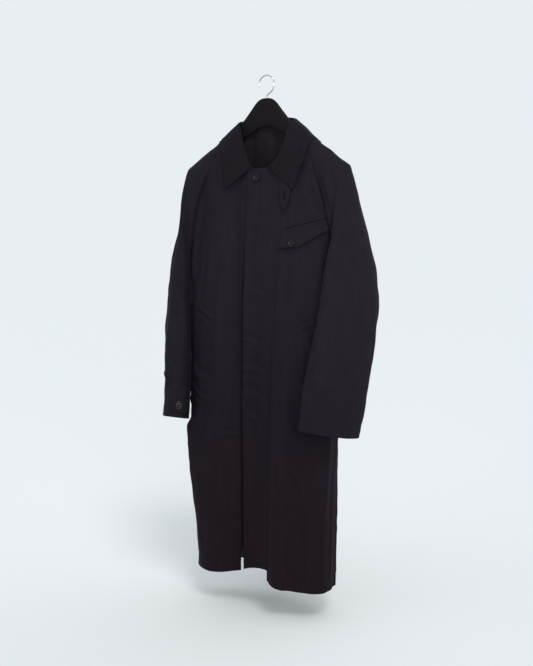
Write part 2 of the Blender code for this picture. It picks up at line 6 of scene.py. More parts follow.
import math
from collections import namedtuple

import bpy
import numpy as np
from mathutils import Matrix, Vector, noise


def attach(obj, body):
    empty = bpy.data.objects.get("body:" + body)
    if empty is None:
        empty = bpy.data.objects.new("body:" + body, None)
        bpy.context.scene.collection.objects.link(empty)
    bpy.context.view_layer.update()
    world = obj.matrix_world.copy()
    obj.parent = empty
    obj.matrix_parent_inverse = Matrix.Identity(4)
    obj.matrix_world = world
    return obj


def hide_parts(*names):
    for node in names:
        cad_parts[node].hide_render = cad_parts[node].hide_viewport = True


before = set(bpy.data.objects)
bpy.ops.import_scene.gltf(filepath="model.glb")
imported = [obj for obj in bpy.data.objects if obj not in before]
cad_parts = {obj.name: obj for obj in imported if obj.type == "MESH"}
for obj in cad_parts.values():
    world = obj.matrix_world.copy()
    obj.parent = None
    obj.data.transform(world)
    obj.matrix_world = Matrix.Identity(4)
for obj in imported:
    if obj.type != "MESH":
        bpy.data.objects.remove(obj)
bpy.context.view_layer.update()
bpy.ops.object.select_all(action="DESELECT")

# Cloth and seams, in metres
CLOTH = 0.0020
SEAM = 0.000005
ON_TOP = 0.0011
# Pieces whose inside takes the lining, lighter than the twill: partly its own colour, partly painted light
# inside the coat
LINED_WITH_PAINTED_LIGHT = ("front", "fly", "back", "sleeve")

# Heights of the coat, below the hook's bow
HEM_Z = -1.218
LEFT_HEM_DROP = 0.010
ARMPIT_Z = -0.420
NECK_FRONT_Z = -0.219
NECK_CORNER_Z = -0.140
NECK_BACK_Z = -0.102
BACK_CORNER_Z = -0.107

# Widths and corners of the front, the neck and the sides
Fly = namedtuple("Fly", "z edge_x stitch_x")
FLY = (
    Fly(-1.225, -0.0255, 0.0545),
    Fly(-1.000, -0.0255, 0.0555),
    Fly(-0.900, -0.0245, 0.0570),
    Fly(-0.800, -0.0220, 0.0595),
    Fly(-0.700, -0.0190, 0.0635),
    Fly(-0.600, -0.0170, 0.0675),
    Fly(-0.500, -0.0170, 0.0705),
    Fly(-0.400, -0.0205, 0.0725),
    Fly(-0.300, -0.0260, 0.0750),
    Fly(-0.250, -0.0290, 0.0725),
    Fly(-0.215, -0.0305, 0.0660),
)
NECK_CORNER_X = 0.078
NECK_CURVE = 2.8
SIDE_TURN = 90.0
SQUARENESS = 0.85
SHOULDER_NECK = np.array((0.075, 0.0, -0.112))

# The right front under the fly: where its edge runs, and how it hollows and rises there
UNDERLAP_X = 0.026
UNDERLAP_HEM_X = -0.0540
UNDERLAP_SWING_Z = -1.080
UNDERLAP_FULL_Z = -1.175
UNDERLAP_TURN = -27.0
UNDERLAP_DROP = 0.0230
UNDERLAP_RISE_TURN = -15.0
UNDERLAP_RISE = 0.0150
UNDERLAP_BLEND = 10.0
UNDERLAP_TOP_SHARE = 0.45
UNDERLAP_GROWTH = 0.40

# The narrow slot beside the fly's free edge
SLOT_DEPTH = 0.0120
SLOT_FROM = 0.0210
SLOT_RAMP = 0.007
SLOT_TOP_Z = -0.390
SLOT_FADE = 0.12

# Rows and columns of the cloth grids
ROWS_BELOW = 200
ROWS_ABOVE = 76
FRONT_COLUMNS = 62
RIGHT_FRONT_COLUMNS = 100
FLY_COLUMNS = 26
BACK_COLUMNS = 84
SLEEVE_COLUMNS = 84
CAP_ROWS = 54
ARM_ROWS = 130
TRIM_COLUMNS = 8

# Body of the coat, as level rings
Ring = namedtuple("Ring", "z half_width front_depth back_depth")
TORSO = (
    Ring(-1.225, 0.190, 0.095, 0.082),
    Ring(-0.990, 0.194, 0.096, 0.079),
    Ring(-0.790, 0.199, 0.094, 0.075),
    Ring(-0.590, 0.196, 0.084, 0.073),
    Ring(-0.440, 0.197, 0.068, 0.071),
    Ring(-0.370, 0.203, 0.057, 0.068),
    Ring(-0.290, 0.214, 0.045, 0.063),
    Ring(-0.212, 0.222, 0.036, 0.057),
    Ring(-0.180, 0.175, 0.035, 0.056),
    Ring(-0.140, 0.116, 0.034, 0.056),
    Ring(-0.112, 0.075, 0.032, 0.055),
    Ring(-0.095, 0.060, 0.030, 0.054),
)
SEAM_TURN = math.degrees(SEAM / TORSO[0].half_width)

# How far each front lifts at the hem beside the middle, how far round that fades out, and its slant
Hem = namedtuple("Hem", "rise fade_turn slant")
FLY_HEM = Hem(0.026, 200.0, 0.0007)
LEFT_HEM = Hem(0.011, 44.0, 0.0)
RIGHT_HEM = Hem(0.014, 40.0, 0.0)
LEVEL_HEM = Hem(0.0, 40.0, 0.0)

# Hanging folds: where round the body, how wide, where they start, and how deep from where they are full
Fold = namedtuple("Fold", "turn_top turn_hem half_turn z_start z_full depth")
FOLDS = (
    # middle and right front
    Fold(0, 0, 27, -0.250, -1.040, -0.036),
    Fold(-30, -26, 14, -0.440, -1.040, -0.009),
    Fold(-57, -57, 30, -0.330, -0.500, 0.014),
    Fold(-54, -54, 30, -0.660, -0.890, 0.007),
    Fold(-57, -57, 30, -0.500, -0.640, 0.003),
    # pressed in where the right sleeve lies against the front
    Fold(-62, -60, 22, -0.550, -0.780, -0.0056),
    Fold(-60, -60, 22, -0.786, -0.804, -0.0034),
    Fold(-60, -60, 22, -0.831, -0.858, 0.0090),
    # right front drawn in towards the hem
    Fold(-57, -57, 30, -0.900, -1.200, -0.011),
    Fold(-54, -54, 32, -0.850, -1.210, -0.012),
    # left front
    Fold(62, 62, 30, -0.360, -0.540, 0.013),
    Fold(62, 62, 30, -0.890, -1.180, -0.013),
    Fold(40, 23, 13, -0.320, -0.890, 0.014),
    Fold(54, 43, 14, -0.440, -1.090, -0.003),
    Fold(68, 66, 18, -0.590, -1.140, 0.007),
    # sides and back
    Fold(100, 98, 13, -0.690, -1.140, -0.006),
    Fold(130, 129, 18, -0.410, -1.090, 0.009),
    Fold(152, 151, 17, -0.350, -1.040, -0.014),
    Fold(180, 180, 19, -0.390, -0.990, 0.012),
    Fold(209, 211, 18, -0.370, -1.090, -0.013),
    Fold(238, 240, 17, -0.440, -1.040, 0.013),
    Fold(262, 262, 13, -0.690, -1.140, -0.008),
)

# Raglan seams, from the armpit up to the neck
Seam = namedtuple("Seam", "z front_x back_x")
RAGLAN = (
    Seam(-0.420, 0.1990, 0.1990),
    Seam(-0.370, 0.1975, 0.1960),
    Seam(-0.310, 0.1930, 0.1860),
    Seam(-0.240, 0.1740, 0.1600),
    Seam(-0.190, 0.1370, 0.1260),
    Seam(-0.140, 0.0780, 0.0860),
    Seam(-0.107, 0.0600, 0.0600),
)

# Sleeves, from the armhole to the cuff: both hang forward and turn their outside to the front
Sleeve = namedtuple("Sleeve", "inner_x inner_z outer_x outer_z mid_y half_depth twist")
LEFT_SLEEVE = (
    Sleeve(0.1995, -0.4205, 0.2225, -0.2115, 0.000, 0.047, 0.0),
    Sleeve(0.2020, -0.4340, 0.2325, -0.2540, 0.000, 0.056, 2.0),
    Sleeve(0.2050, -0.4520, 0.2420, -0.3050, -0.002, 0.066, 5.0),
    Sleeve(0.2070, -0.4800, 0.2555, -0.3720, -0.009, 0.078, 10.0),
    Sleeve(0.2070, -0.5200, 0.2690, -0.4500, -0.016, 0.086, 16.0),
    Sleeve(0.2070, -0.5750, 0.2790, -0.5300, -0.031, 0.089, 21.0),
    Sleeve(0.2070, -0.6350, 0.2760, -0.6080, -0.048, 0.087, 25.0),
    Sleeve(0.2050, -0.7020, 0.2680, -0.6860, -0.063, 0.086, 27.0),
    Sleeve(0.1990, -0.7670, 0.2610, -0.7620, -0.072, 0.084, 29.0),
    Sleeve(0.1910, -0.8240, 0.2490, -0.8360, -0.074, 0.080, 29.0),
)
RIGHT_SLEEVE = (
    Sleeve(0.1995, -0.4205, 0.2225, -0.2115, 0.000, 0.047, 0.0),
    Sleeve(0.2025, -0.4340, 0.2325, -0.2540, 0.000, 0.054, 5.0),
    Sleeve(0.2065, -0.4520, 0.2370, -0.3050, -0.003, 0.058, 13.0),
    Sleeve(0.2095, -0.4800, 0.2470, -0.3720, -0.010, 0.064, 22.0),
    Sleeve(0.2085, -0.5200, 0.2615, -0.4500, -0.020, 0.072, 28.0),
    Sleeve(0.2035, -0.5750, 0.2652, -0.5300, -0.034, 0.080, 32.0),
    Sleeve(0.1978, -0.6350, 0.2626, -0.6080, -0.048, 0.085, 35.0),
    Sleeve(0.1892, -0.7020, 0.2569, -0.6860, -0.060, 0.086, 36.0),
    Sleeve(0.1831, -0.7700, 0.2478, -0.7620, -0.070, 0.084, 37.0),
    Sleeve(0.1823, -0.8360, 0.2469, -0.8360, -0.078, 0.081, 37.0),
)
SLEEVES = {"left": LEFT_SLEEVE, "right": RIGHT_SLEEVE}
CUFF_LEVEL = len(LEFT_SLEEVE) - 1
SLIT_TURN = 0.0008
SLEEVE_FLATNESS = {"left": 1.0, "right": 0.72}
FLATTENING_ROWS = 3.0
CUFF_TILT = 0.22
CUFF_TILT_FROM = 5.0
ELBOW_Z = -0.550
RIGHT_CUFF_LIFT = 0.001
RIGHT_CUFF_SWING = 0.006

# Collar's fold and edge, from the front end (0) round to the back middle (1); x is away from the middle
Collar = namedtuple("Collar", "way fold_x fold_y fold_z edge_x edge_y edge_z swell")
COLLAR_BEHIND = (
    Collar(0.68, 0.053, 0.0385, -0.0990, 0.1100, 0.0670, -0.1570, 0.005),
    Collar(1.00, 0.000, 0.0550, -0.0920, 0.0000, 0.0700, -0.1580, 0.006),
)
COLLARS = {
    "left": (
        Collar(0.00, 0.0300, -0.0430, -0.2200, 0.1040, -0.0480, -0.2705, 0.003),
        Collar(0.20, 0.0670, -0.0450, -0.1820, 0.1165, -0.0440, -0.2280, 0.004),
        Collar(0.38, 0.0755, -0.0370, -0.1460, 0.1325, -0.0400, -0.1880, 0.004),
        Collar(0.52, 0.0750, -0.0040, -0.1090, 0.1345, 0.0000, -0.1490, 0.003),
    ) + COLLAR_BEHIND,
    "right": (
        Collar(0.00, 0.0170, -0.0425, -0.2190, 0.0905, -0.0480, -0.2680, 0.003),
        Collar(0.20, 0.0360, -0.0400, -0.1680, 0.0960, -0.0440, -0.2280, 0.004),
        Collar(0.38, 0.0550, -0.0280, -0.1220, 0.1035, -0.0400, -0.1880, 0.004),
        Collar(0.52, 0.0710, -0.0040, -0.1050, 0.1350, 0.0000, -0.1490, 0.003),
    ) + COLLAR_BEHIND,
}
COLLAR_CLOTH = 0.0030
COLLAR_HALF_COLUMNS = 44
COLLAR_ROWS = 30
COLLAR_LIFT = 0.0018
COLLAR_ROUND = 0.002
STAND_MIDDLE = 0.55
COLLAR_FRONT_WAY = 0.40
COLLAR_BACK_WAY = 0.64
COLLAR_TURN_RISE = 0.3
COLLAR_FINE = 8
COLLAR_STITCH_ROW = 12
COLLAR_UNEVEN = 0.6
COLLAR_LOOSE_FROM = 0.45
COLLAR_LOOSE_OVER = 0.4
RIGHT_RIPPLE = -0.7
NECK_MIDDLE = np.array((0.0, 0.010, 0.0))
OVER_BAR_WAY = 0.5
OVER_BAR_REACH = 0.06
OVER_BAR_LIFT = 0.85
Fall = namedtuple("Fall", "along out up")
COLLAR_FALL = (
    Fall(0.14, 0.5, 0.4),
    Fall(0.45, 0.4, 0.5),
    Fall(0.75, 0.0, 0.3),
    Fall(1.00, 0.0, 0.0),
)

# Chest flap on the left front: its slanting top edge and its stepped lower edge
Flap = namedtuple("Flap", "along top_x top_z low_x low_z")
CHEST_FLAP = (
    Flap(0.00, 0.0830, -0.3620, 0.0690, -0.4050),
    Flap(0.40, 0.1230, -0.3510, 0.1150, -0.4030),
    Flap(0.62, 0.1450, -0.3455, 0.1420, -0.3890),
    Flap(1.00, 0.1830, -0.3370, 0.1850, -0.3630),
)
FLAP_COLUMNS = 40

# Side pocket welts, from the upper end to the lower end
Welt = namedtuple("Welt", "along front_x front_z back_x back_z")
SIDE_WELT = (
    Welt(0.0, 0.1180, -0.5900, 0.1500, -0.5800),
    Welt(1.0, 0.1500, -0.7750, 0.1780, -0.7650),
)
WELT_ROWS = 40

# Throat tab under the left collar point, and the cuff tabs
TAB_TOP_Z = -0.234
TAB_POINT_Z = -0.314
TAB_X = 0.0790
TAB_HALF = 0.0180
TAB_END_HALF = 0.0095
TAB_ROWS = 30
TAB_POINT_FROM = 0.80
TAB_NARROWING = 0.55
CUFF_TAB_AT = 8.55
CUFF_TAB_HALF = 0.27
CUFF_TAB_ROWS = 40
CUFF_POINT_FROM = 0.88
CuffTab = namedtuple("CuffTab", "side start end button_way")
CUFF_TABS = (
    CuffTab("left", 0.020, 0.150, 0.105),
    CuffTab("right", 0.085, 0.285, 0.240),
)

# Buttons
NECK_BUTTON_X = -0.001
NECK_BUTTON_Z = -0.240
CHEST_BUTTON_X = 0.106
CHEST_BUTTON_Z = -0.3940
NECK_BUTTON_R = 0.0092
CUFF_BUTTON_R = 0.0104
CHEST_BUTTON_R = 0.0090
BUTTON_THICK = 0.0036
BUTTON_LIFT = 0.0005
NECK_BUTTON_LIFT = 0.0012
CHEST_BUTTON_STAND = 0.75

# Shape of a button, as shares of its radius, with heights as shares of its thickness
BUTTON_SIDES = 48
RIM_WIDTH = 0.24
RIM_SLOPE = 0.12
RIM_ROUND = 0.075
RIM_ANGLE = 20.0
RIM_SEGMENTS = 3
FACING_UP = 0.9
MIDDLE_SUNK = 0.32
MIDDLE_INSET = 0.05
EYE_SIDES = 16
EYE_DEPTH = 4.0
EYE_SPACING = 0.21
EYE_R = 0.095
SMOOTH_ANGLE = 40.0

# Strands that sew a button on: spacing in strand radii, length in eye spacings
STRAND_R = 0.035
STRAND_HEIGHT = 0.70
STRAND_SPACING = 1.7
STRAND_LENGTH = 2.9

# Directions, and small steps for finding which way a surface faces
TO_THE_FRONT = np.array((0.0, -1.0, 0.0))
UPWARD = np.array((0.0, 0.0, 1.0))
IN_PLAN = np.array((1.0, 1.0, 0.0))
MIRRORED = np.array((-1.0, 1.0, 1.0))
TURN_STEP = 2.0
HEIGHT_STEP = 0.004
LEVEL_STEP = 0.1
WAY_STEP = 0.02
TINY = 1e-12

# Section of a crease: the hollow beside its ridge, as shares of the ridge, and how its ends fade
HOLLOW_DEPTH = 0.65
HOLLOW_PLACE = 1.7
HOLLOW_WIDTH = 1.1
END_FADE = 0.7

# Creases pressed into the front: from one end to the other, with a sideways bow
Crease = namedtuple("Crease", "x0 z0 x1 z1 bow width depth")
FRONT_CREASES = (
    # far side: pulls from the shoulder and beside the armhole
    Crease(-0.178, -0.265, -0.182, -0.500, -0.006, 0.009, 0.0090),
    Crease(-0.125, -0.270, -0.140, -0.560, 0.010, 0.013, 0.0038),
    Crease(-0.082, -0.275, -0.062, -0.600, -0.008, 0.012, 0.0030),
    # far pocket: short wrinkles round the welt's ends
    Crease(-0.166, -0.552, -0.106, -0.584, 0.004, 0.0042, 0.0036),
    Crease(-0.168, -0.572, -0.112, -0.606, 0.004, 0.0040, 0.0030),
    Crease(-0.172, -0.700, -0.112, -0.732, -0.008, 0.0080, 0.0050),
    Crease(-0.174, -0.742, -0.116, -0.782, -0.006, 0.0046, 0.0042),
    Crease(-0.172, -0.760, -0.122, -0.798, -0.006, 0.0042, 0.0036),
    Crease(-0.122, -0.886, -0.036, -0.862, 0.008, 0.0060, 0.0040),
    Crease(-0.105, -0.620, -0.112, -1.150, -0.010, 0.016, 0.0035),
    Crease(-0.070, -0.880, -0.066, -1.190, 0.004, 0.012, 0.0028),
    # fly: small slanting wrinkles between the hidden buttons
    Crease(-0.026, -0.508, 0.050, -0.524, 0.004, 0.0065, 0.0030),
    Crease(-0.022, -0.620, 0.048, -0.638, -0.004, 0.0055, 0.0036),
    Crease(-0.028, -0.640, 0.030, -0.650, 0.003, 0.0050, 0.0026),
    Crease(-0.026, -0.692, 0.050, -0.708, 0.004, 0.0070, 0.0044),
    Crease(-0.024, -0.716, 0.034, -0.722, -0.003, 0.0050, 0.0026),
    Crease(-0.026, -0.756, 0.050, -0.772, 0.004, 0.0075, 0.0044),
    Crease(-0.020, -0.812, 0.048, -0.834, 0.004, 0.0070, 0.0036),
    Crease(-0.024, -0.336, 0.030, -0.372, 0.006, 0.0070, 0.0016),
    # near side: the long drape from the throat, and pulls below the flap
    Crease(0.076, -0.305, 0.064, -1.180, 0.008, 0.011, 0.0046),
    Crease(0.140, -0.460, 0.151, -0.740, -0.003, 0.0055, 0.0022),
    Crease(0.112, -0.262, 0.172, -0.372, 0.008, 0.009, 0.0034),
    Crease(0.146, -0.240, 0.190, -0.390, 0.006, 0.010, 0.0070),
    Crease(0.138, -0.592, 0.182, -0.574, 0.003, 0.0042, 0.0038),
    Crease(0.140, -0.608, 0.180, -0.594, -0.002, 0.0040, 0.0032),
    Crease(0.146, -0.778, 0.186, -0.800, 0.005, 0.0060, 0.0018),
    Crease(0.072, -0.934, 0.112, -1.036, -0.008, 0.0075, 0.0042),
    Crease(0.108, -0.906, 0.146, -0.992, 0.008, 0.0070, 0.0036),
    Crease(0.092, -0.640, 0.060, -0.740, 0.006, 0.0080, 0.0034),
    Crease(0.080, -0.720, 0.120, -0.800, 0.006, 0.0070, 0.0018),
    Crease(0.136, -0.850, 0.160, -1.205, 0.008, 0.015, 0.0034),
)
BACK_CREASES = (
    Crease(-0.150, -0.230, -0.110, -0.620, 0.016, 0.014, 0.0044),
    Crease(0.150, -0.230, 0.112, -0.600, -0.016, 0.014, 0.0044),
    Crease(-0.060, -0.240, -0.046, -0.560, 0.006, 0.013, 0.0026),
    Crease(0.060, -0.240, 0.050, -0.580, -0.006, 0.013, 0.0026),
    Crease(-0.186, -0.420, -0.140, -0.530, 0.010, 0.009, 0.0034),
    Crease(0.186, -0.420, 0.142, -0.520, -0.010, 0.009, 0.0034),
    Crease(-0.140, -0.800, -0.060, -0.846, 0.012, 0.010, 0.0024),
    Crease(0.040, -0.720, 0.126, -0.770, -0.012, 0.010, 0.0024),
    Crease(0.090, -0.960, 0.156, -0.920, 0.010, 0.009, 0.0022),
    Crease(-0.100, -0.600, -0.118, -1.160, 0.008, 0.015, 0.0030),
    Crease(0.104, -0.620, 0.120, -1.160, -0.008, 0.015, 0.0030),
)

# Creases in the sleeves: places are level down the arm (neck -1, armhole 0, cuff 9) and way round it
Pull = namedtuple("Pull", "level0 way0 level1 way1 bow width depth")
SLEEVE_CREASES = (
    # from the shoulder into the armhole, in front and behind
    Pull(-0.45, 0.29, 1.20, 0.22, 0.004, 0.010, 0.0056),
    Pull(-0.10, 0.36, 2.10, 0.26, 0.006, 0.012, 0.0046),
    Pull(-0.30, 0.70, 1.60, 0.80, -0.005, 0.012, 0.0048),
    Pull(0.30, 0.14, 2.60, 0.09, 0.004, 0.009, 0.0040),
    Pull(0.60, 0.88, 2.60, 0.92, -0.004, 0.009, 0.0040),
    # soft bends round the elbow
    Pull(3.80, 0.16, 4.60, 0.40, 0.014, 0.011, 0.0012),
    Pull(4.40, 0.12, 5.30, 0.36, 0.012, 0.010, 0.0014),
    Pull(4.95, 0.18, 5.70, 0.40, -0.010, 0.010, 0.0011),
    Pull(3.60, 0.62, 4.90, 0.82, -0.012, 0.012, 0.0012),
    Pull(4.80, 0.66, 5.60, 0.88, 0.010, 0.011, 0.0012),
    # long drops to the cuff
    Pull(5.60, 0.38, 8.30, 0.42, 0.008, 0.013, 0.0036),
    Pull(3.00, 0.30, 7.60, 0.28, -0.008, 0.014, 0.0034),
    Pull(6.00, 0.56, 8.80, 0.60, 0.008, 0.014, 0.0030),
    Pull(2.40, 0.52, 5.60, 0.50, 0.010, 0.016, 0.0030),
    Pull(5.80, 0.84, 8.20, 0.86, -0.006, 0.013, 0.0030),
    Pull(7.20, 0.20, 8.20, 0.36, 0.010, 0.009, 0.0024),
    Pull(6.30, 0.34, 7.90, 0.40, 0.006, 0.006, 0.0026),
    Pull(5.30, 0.48, 6.50, 0.43, -0.006, 0.006, 0.0024),
    Pull(2.20, 0.44, 4.60, 0.50, 0.006, 0.008, 0.0028),
    Pull(3.40, 0.36, 4.90, 0.42, -0.005, 0.006, 0.0022),
    Pull(7.00, 0.48, 8.40, 0.46, 0.005, 0.007, 0.0026),
    Pull(1.20, 0.40, 3.20, 0.36, 0.005, 0.008, 0.0026),
    Pull(4.60, 0.26, 5.80, 0.34, 0.006, 0.006, 0.0020),
    # small crumples above the cuff
    Pull(6.05, 0.30, 6.45, 0.37, 0.003, 0.005, 0.0022),
    Pull(6.40, 0.37, 6.75, 0.31, -0.002, 0.005, 0.0020),
    Pull(6.90, 0.27, 7.25, 0.36, 0.003, 0.005, 0.0022),
    Pull(7.45, 0.40, 7.70, 0.49, -0.003, 0.005, 0.0024),
)
SLEEVE_GIRTH = 0.300
LEVEL_LENGTH = 0.066

# Ripples along the collar's leaves, as ways round the neck
Ripple = namedtuple("Ripple", "way half_way depth")
COLLAR_RIPPLES = (
    Ripple(0.07, 0.035, 0.0007),
    Ripple(0.16, 0.030, -0.0007),
    Ripple(0.25, 0.035, 0.0009),
    Ripple(0.34, 0.030, -0.0007),
    Ripple(0.44, 0.040, 0.0009),
    Ripple(0.60, 0.050, -0.0012),
    Ripple(0.80, 0.060, 0.0014),
)

# Unevenness of the cloth: waves to the metre across and down, and how high they are
WAVES = (
    ((15.0, 15.0, 15.0), 0.0016),
    ((46.0, 46.0, 46.0), 0.0009),
    ((40.0, 40.0, 4.5), 0.0024),
)

# Stitching
STITCH_PITCH = 0.0034
STITCH_LENGTH = 0.0026
STITCH_R = 0.00034
STITCH_RISE = 0.0001
EDGE_INSET = 0.0055
HEM_INSET = 0.030
CUFF_INSET = 0.030
HOLE_AT = 0.60
HOLE_HALF_LENGTH = 0.125
HOLE_HALF_WIDTH = 0.050
HOLE_THREADS = 72
HOLE_THREAD_LENGTH = 0.0022
HOLE_THREAD_R = STITCH_R * 1.15
HOLE_THREAD_LEAN = 0.55
HOLE_SQUARENESS = 0.4
BEAD_SIDES = 6
BEAD_RINGS = 5

# Edges, seams and standing pieces
EDGE_ROUND = 0.0007
MOST_DRAWN_IN = 0.4
ALLOWANCE = 0.0060
ALLOWANCE_DEPTH = 0.0029
ALLOWANCE_LEAST = 0.03
ALLOWANCE_ROWS = 4.0
ARMPIT_FREE_ROWS = 2
SEAM_DIP = 0.0010
SEAM_REACH = 0.004
SEAM_FADE = 0.009
SIDE_SEAM_FADE = 0.12
SLEEVE_SEAM_FADE = 0.08
SLEEVE_NECK_FADE = 0.25
HEM_GROOVE = 0.0008
HEM_GROOVE_REACH = 0.005
STITCH_GROOVE = 0.0009
STITCH_GROOVE_REACH = 0.0022
FLY_STAND = 0.0090
FLY_STAND_TOP = 0.0008
FLY_STAND_Z = NECK_FRONT_Z - 0.06
FLY_STAND_GROWTH = 0.35
FLY_SEAM_TOP = 0.0008
FLY_SEAM_HEM = 0.0050
FLY_SEAM_GROWTH = 0.75
FLY_SEAM_REACH = 0.0042
FLY_SEAM_STEPS = (0.008, 0.016, 0.026, 0.037)
FLY_STAND_REACH = 0.012
FLY_EDGE_STEPS = (0.02, 0.04, 0.06, 0.08, 0.105)
HEM_STEPS = (0.0315, 0.0345, 0.0375, 0.0405, 0.044)
FLAP_STAND = 0.0055
SEAM_SHADE_THREAD_R = 0.0006
SEAM_SHADE_THREAD_LENGTH = STITCH_PITCH * 1.5
TAB_STAND = 0.0080
WELT_STAND = 0.0002
WELT_RISE = 0.0006
WELT_CLOTH = 0.0007
COLLAR_ROUNDING = 40
COLLAR_TUCK_IN = 0.0030
COLLAR_TUCK_DOWN = 0.0140
COLLAR_EDGE_STEPS = (0.075, 0.059, 0.043, 0.027, 0.012)
COLLAR_END_STEPS = (0.005, 0.011, 0.017, 0.023, 0.030)
CLEAR_OF_ENDS = 1.2

# Hanger and hook
Bar = namedtuple("Bar", "x top_z height half_thick")
HANGER = (
    Bar(0.000, -0.0505, 0.069, 0.0080),
    Bar(0.015, -0.0520, 0.069, 0.0080),
    Bar(0.026, -0.0590, 0.066, 0.0082),
    Bar(0.039, -0.0750, 0.058, 0.0085),
    Bar(0.055, -0.0940, 0.046, 0.0088),
    Bar(0.075, -0.1154, 0.035, 0.0090),
    Bar(0.110, -0.1390, 0.030, 0.0090),
    Bar(0.160, -0.1727, 0.026, 0.0090),
    Bar(0.203, -0.2018, 0.022, 0.0085),
    Bar(0.210, -0.2085, 0.010, 0.0050),
)
BAR_SIDES = 24
BAR_SQUARENESS = 0.7
BAR_SMOOTHING = 2
WIRE_R = 0.0019
BOW_R = 0.0215
BOW_Z = WIRE_R - BOW_R
BOW_TIP_TURN = 192.0
BOW_FOOT_TURN = -58.0
BOW_STEPS = 64
WIRE_SIDES = 16
WIRE_END_ROUND = 0.6
WIRE_END_ANGLE = 60.0
WIRE_END_SEGMENTS = 4
HOOK_LEAD = ((0.0060, -0.0415), (0.0022, -0.0447), (0.0004, -0.0472), (0.0, -0.0500), (0.0, -0.0560))

# Colours
TWILL_DARK = (0.0099, 0.0075, 0.0112)
TWILL_LIGHT = (0.0115, 0.0091, 0.0132)
# Painted shade: from the first height down to the second, the twill is multiplied darker and more wine,
# standing in for less light on the lower coat
HEM_SHADE_FROM = -0.450
HEM_SHADE_TO = -1.080
PAINTED_HEM_SHADE = (0.95, 0.70, 0.79)
# A lighter painted shade towards the hem for the sleeves
SLEEVE_PAINTED_HEM_SHADE = (0.98, 0.90, 0.94)
COLLAR_STRENGTH = 0.73
# Lining: partly its own colour, partly painted light, made lighter than the twill to light the coat's
# inside
LINING_AND_PAINTED_LIGHT = (0.0155, 0.0114, 0.0160)
THREAD_COLOR = (0.011, 0.008, 0.012)
# Near-black thread: painted shade along the flap's top seam, and buttonhole thread darkened as painted
# shade of its slit
SEAM_SHADE_THREAD_COLOR = (0.0020, 0.0014, 0.0020)
HORN_COLOR = (0.006, 0.005, 0.006)
BAR_COLOR = (0.0056, 0.0038, 0.0056)
WIRE_COLOR = (0.62, 0.62, 0.63)

# Finishes: the twill's ribs and dye, and the fine wear of the plain finishes
RIB_SCALE = 370.0
RIB_DISTORTION = 0.6
RIB_STRENGTH = 0.35
RIB_HEIGHT = 0.0002
DYE_SCALE = (95.0, 16.0, 1.0)
DYE_DETAIL = 3.0
DYE_RANGE = (0.30, 0.72)
SHEEN_TINT = (0.86, 0.82, 1.0)
WEAR_SCALE = 420.0
WEAR = 0.15

# Studio
FLOOR_R = 30.0
FLOOR_SIDES = 96
FLOOR_Z = -1.300
FLOOR_COLOR = (0.793, 0.806, 0.808)
WORLD_COLOR = (0.81, 0.855, 0.88)
SUN_FROM = (1.25, -1.1, 2.0)
SUN_STRENGTH = 0.85
SUN_ANGLE = 18.0
LAMP_PLACE = (1.45, -1.70, 0.00)
LAMP_AIM = (0.05, -0.02, -0.26)
LAMP_SIZE = 0.9
LAMP_SPREAD = 60.0
LAMP_WATTS = 4.0
CAMERA_AIM = (0.0, 0.0, -0.616)
CAMERA_AZIMUTH = 33.0
CAMERA_HEIGHT = 6.5
CAMERA_DISTANCE = 2.7
CAMERA_LENS = 59.68
CAMERA_SENSOR = 36.0


def ease(t):
    """0 to 1 with flat ends"""
    t = np.clip(t, 0.0, 1.0)
    return t * t * (3.0 - 2.0 * t)


def lerp(a, b, t):
    return a + (b - a) * t


def steps(count):
    """Even fractions from 0 to 1"""
    return np.linspace(0.0, 1.0, count + 1)


def fine_ends(count, near):
    """Fractions from 0 to 1 with extra ones close to both ends"""
    clear = near[-1] * CLEAR_OF_ENDS
    even = steps(count)
    even = even[(even > clear) & (even < 1.0 - clear)]
    return np.concatenate(((0.0,), near, even, 1.0 - np.array(near[::-1]), (1.0,)))


def stacked(x, y, z):
    return np.stack(np.broadcast_arrays(x, y, z), axis=-1)


def unit(vectors):
    """The vectors at a length of 1"""
    return vectors / np.maximum(np.linalg.norm(vectors, axis=-1, keepdims=True), TINY)


def smooth(keys, values, at):
    """Smooth curve through the pairs, with rising keys and no overshoot"""
    keys, values = np.asarray(keys, float), np.asarray(values, float)
    at = np.clip(at, keys[0], keys[-1])
    rates = np.diff(values) / np.diff(keys)
    product = rates[:-1] * rates[1:]
    inner = np.zeros(len(product))
    np.divide(2.0 * product, rates[:-1] + rates[1:], out=inner, where=product > 0.0)
    slopes = np.concatenate((rates[:1], inner, rates[-1:]))
    i = np.clip(np.searchsorted(keys, at, side="right") - 1, 0, len(keys) - 2)
    span = keys[i + 1] - keys[i]
    t = (at - keys[i]) / span
    bend = t * (1.0 - t) ** 2 * slopes[i] * span + t * t * (t - 1.0) * slopes[i + 1] * span
    return lerp(values[i], values[i + 1], ease(t)) + bend


def read(table, key, name, at):
    """One named column of a table, read as a smooth curve of its key column"""
    return smooth([getattr(row, key) for row in table], [getattr(row, name) for row in table], at)


def by_row(table, name, at):
    """One named column of a table, read at row numbers that may lie between rows"""
    return smooth(range(len(table)), [getattr(row, name) for row in table], at)


def power(value, exponent):
    """A power that keeps the value's sign"""
    return np.copysign(np.abs(value) ** exponent, value)


def uneven(points):
    """Small waves that no pressed cloth is free of"""
    flat = points.reshape(-1, 3)
    total = np.zeros(len(flat))
    for size, height in WAVES:
        total += height * np.array([noise.noise(p) for p in flat * size])
    return total.reshape(points.shape[:-1])


